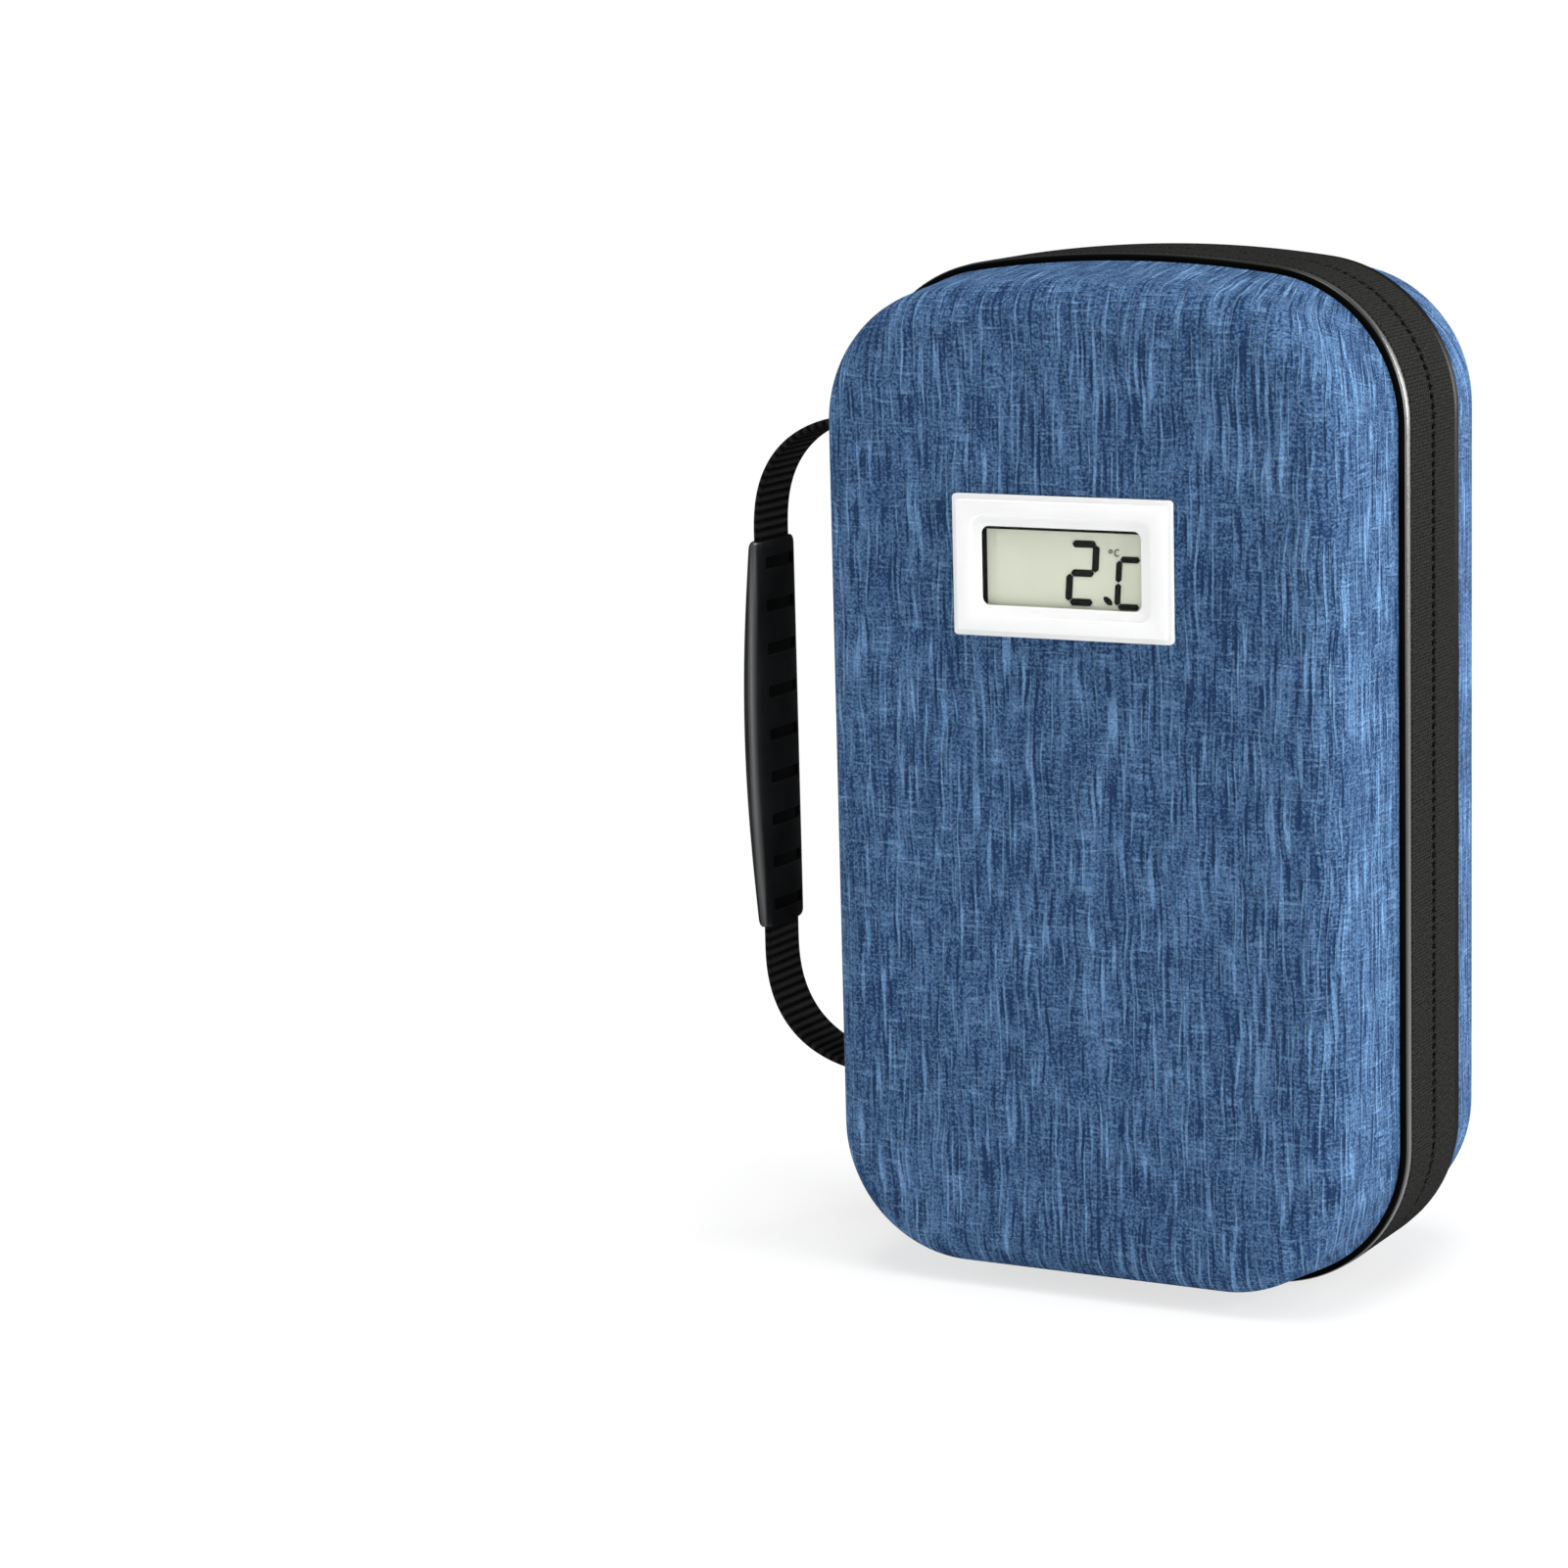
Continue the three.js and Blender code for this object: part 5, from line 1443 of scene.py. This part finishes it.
class CASE_OT_pen_bay(bpy.types.Operator):
    """Make the divider and the elastic pen bands"""

    bl_idname = "cooling_case.pen_bay"
    bl_label = "Pen bay"
    bl_options = {"REGISTER", "UNDO"}

    def execute(self, context):
        self.divider()
        for level in ("upper", "lower"):
            self.band(f"pen_band_{level}", f"pen_loops_{level}")
        return {"FINISHED"}

    def divider(self):
        """A padded panel with rounded edges, inside the back half's outline."""
        low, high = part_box("divider_panel")
        soft, flat = 0.9 * MM, 2 * MM
        round_inset = sizes().rim_width / 2 - high.x + soft
        profile = [
            (round_inset + flat, low.y),
            *arc(round_inset, low.y + soft, soft, -QUARTER_TURN, -HALF_TURN, 4),
            *arc(round_inset, high.y - soft, soft, HALF_TURN, QUARTER_TURN, 4),
            (round_inset + flat, high.y),
        ]
        points, normals = rim_outline(COARSE_STEP)
        rows, uv = [], []
        for inset, y in profile:
            ring = points - normals * inset
            rows.append(upright(ring, y))
            uv.append(np.vstack([ring, ring[:1]]))
        piece = place("divider", skin("divider", rows, np.array(uv)), plain("foil_lining"), "divider_panel")

    def band(self, node, name):
        """A wide elastic sewn down between arched loops."""
        low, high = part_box(node)
        thick, loop_width, spacing, loops = 1.2 * MM, 19 * MM, 8 * MM, 3
        knee, seam_gap = 1.5 * MM, 3.2 * MM
        pitch = loop_width + 2 * thick + spacing
        radius = (loop_width + thick) / 2
        foot, spring = high.y - thick / 2, low.y + thick / 2 + radius
        path, lines = [(low.x, foot)], []
        for i in range(loops):
            x = (i - (loops - 1) / 2) * pitch
            path += arc(x - radius - knee, foot - knee, knee, QUARTER_TURN, 0, 5)
            path += arc(x, spring, radius, HALF_TURN, FULL_TURN, 32)
            path += arc(x + radius + knee, foot - knee, knee, HALF_TURN, QUARTER_TURN, 5)
            for seam in (x - radius - seam_gap, x + radius + seam_gap):
                lines.append([(seam, foot - thick / 2, low.z + MM), (seam, foot - thick / 2, high.z - MM)])
        path.append((high.x, foot))
        axes = ((1, 0, 0), (0, 1, 0), (0, 0, 1))
        mesh = strip(name, path, thick, (low.z + high.z) / 2, (high.z - low.z) / 2, axes)
        place(name, mesh, plain("elastic_band"), node)
        sewn = stitches(f"{name}_stitching", lines, (0, -1, 0))
        place(f"{name}_stitching", sewn, plain("sewing_thread"), node, instead=False)


class CASE_OT_stage(bpy.types.Operator):
    """Make the floor, the light and the camera"""

    bl_idname = "cooling_case.stage"
    bl_label = "Stage"
    bl_options = {"REGISTER", "UNDO"}

    def execute(self, context):
        self.floor(context)
        self.surroundings(context)
        self.lamps(context)
        self.camera(context)
        context.scene.view_settings.view_transform = "Standard"
        return {"FINISHED"}

    def floor(self, context):
        """A floor that curves up into a backdrop behind the case."""
        reach, back, rise, radius = 4.0, 2.2, 3.0, 0.8
        profile = [(-reach, 0.0), *arc(back, radius, radius, -QUARTER_TURN, 0, 16), (back + radius, rise)]
        rows = [[(x, y, z) for x in np.linspace(-reach, reach, 9)] for y, z in profile]
        mesh = skin("floor", rows, ring=False, caps=False)
        mesh.materials.append(self.floor_paint())
        mesh.shade_smooth()
        floor = bpy.data.objects.new("floor", mesh)
        context.collection.objects.link(floor)

    def floor_paint(self):
        """Pale paint that keeps the case's shadow near it, and fades to the white backdrop further off."""
        near, far, white_near = 0.10, 0.45, 0.70
        material = bpy.data.materials.new("floor_paint")
        tree = emptied(material)
        paint = add(tree, "ShaderNodeBsdfDiffuse", {"Color": (*colours().floor, 1.0)}).outputs[0]
        white = add(tree, "ShaderNodeEmission", {"Strength": 1.0}).outputs[0]
        place_m = add(tree, "ShaderNodeTexCoord").outputs["Object"]
        away = add(tree, "ShaderNodeVectorMath", {0: place_m}, operation="LENGTH").outputs["Value"]
        share = times(tree, background_seen(tree), remap(tree, away, near, far, white_near, 1.0))
        mix = add(tree, "ShaderNodeMixShader", {0: share, 1: paint, 2: white})
        add(tree, "ShaderNodeOutputMaterial", {"Surface": mix.outputs[0]})
        return material

    def surroundings(self, context):
        """Soft light from all round, in front of a background that shows as white."""
        world = bpy.data.worlds.new("studio")
        context.scene.world = world
        tree = emptied(world)
        white_light = (1.0, 1.0, 1.0, 1.0)
        soft, white = (
            add(tree, "ShaderNodeBackground", {"Color": white_light, "Strength": strength}).outputs[0]
            for strength in (context.scene.cooling_case_stage.ambient, 1.0)
        )
        mix = add(tree, "ShaderNodeMixShader", {0: background_seen(tree), 1: soft, 2: white})
        add(tree, "ShaderNodeOutputWorld", {"Surface": mix.outputs[0]})

    def lamps(self, context):
        """Softboxes aimed at the case's middle: name, place, width, height and power."""
        middle = Vector((0, 0, 0.105))
        for name, at, width, height, power in (
            ("side_softbox", (1.45, -0.25, 0.42), 0.6, 0.9, 19.5),
            ("rim_softbox", (0.78, 1.15, 0.42), 0.25, 0.8, 16.0),
            ("top_softbox", (0.15, -0.25, 1.85), 1.2, 1.2, 32.0),
            ("left_softbox", (-1.35, -0.10, 0.45), 0.25, 0.8, 3.0),
            ("strip_softbox", (-1.15, -0.75, 0.32), 0.07, 1.0, 4.2),
        ):
            lamp = bpy.data.lights.new(name, "AREA")
            lamp.shape, lamp.size, lamp.size_y, lamp.energy = "RECTANGLE", width, height, power
            holder = bpy.data.objects.new(name, lamp)
            holder.location = at
            holder.rotation_euler = (middle - Vector(at)).to_track_quat("-Z", "Y").to_euler()
            context.collection.objects.link(holder)

    def camera(self, context):
        """The camera, at the stage's eye."""
        stage = context.scene.cooling_case_stage
        lens = bpy.data.cameras.new("camera")
        lens.sensor_width = 36.0
        lens.lens = stage.lens
        lens.clip_start = 0.01
        azimuth, drop = stage.aim_azimuth, stage.aim_drop
        level = math.cos(drop)
        look = Vector((-math.sin(azimuth) * level, math.cos(azimuth) * level, -math.sin(drop)))
        turn = look.to_track_quat("-Z", "Y").to_matrix() @ Matrix.Rotation(stage.roll, 3, "Z")
        holder = bpy.data.objects.new("camera", lens)
        holder.matrix_world = Matrix.Translation(Vector(stage.eye)) @ turn.to_4x4()
        context.collection.objects.link(holder)
        context.scene.camera = holder


OPERATORS = (
    CASE_OT_shells, CASE_OT_linings, CASE_OT_zip, CASE_OT_spine, CASE_OT_handle, CASE_OT_slider,
    CASE_OT_thermometer, CASE_OT_packs, CASE_OT_pocket, CASE_OT_pen_bay, CASE_OT_stage,
)
SETTINGS = {
    "cooling_case_sizes": CaseSizes, "cooling_case_colours": CaseColours, "cooling_case_stage": CaseStage,
}


class CASE_PT_panel(bpy.types.Panel):
    """Lists the case's operators and settings"""

    bl_idname = "CASE_PT_panel"
    bl_label = "Cooling case"
    bl_space_type = "VIEW_3D"
    bl_region_type = "UI"
    bl_category = "Cooling case"

    def draw(self, context):
        for operator in OPERATORS:
            self.layout.operator(operator.bl_idname)
        for name, group in SETTINGS.items():
            for field in group.__annotations__:
                self.layout.prop(getattr(context.scene, name), field)


CLASSES = (*SETTINGS.values(), *OPERATORS, CASE_PT_panel)


def register():
    for kind in CLASSES:
        bpy.utils.register_class(kind)
    for name, group in SETTINGS.items():
        setattr(bpy.types.Scene, name, bpy.props.PointerProperty(type=group))


def unregister():
    for name in SETTINGS:
        delattr(bpy.types.Scene, name)
    for kind in reversed(CLASSES):
        bpy.utils.unregister_class(kind)


def main():
    register()
    make = bpy.ops.cooling_case
    make.shells()
    make.linings()
    make.zip()
    make.spine()
    make.handle()
    make.slider()
    make.thermometer()
    make.packs()
    make.pocket()
    make.pen_bay()
    make.stage()


if __name__ == "__main__":
    main()
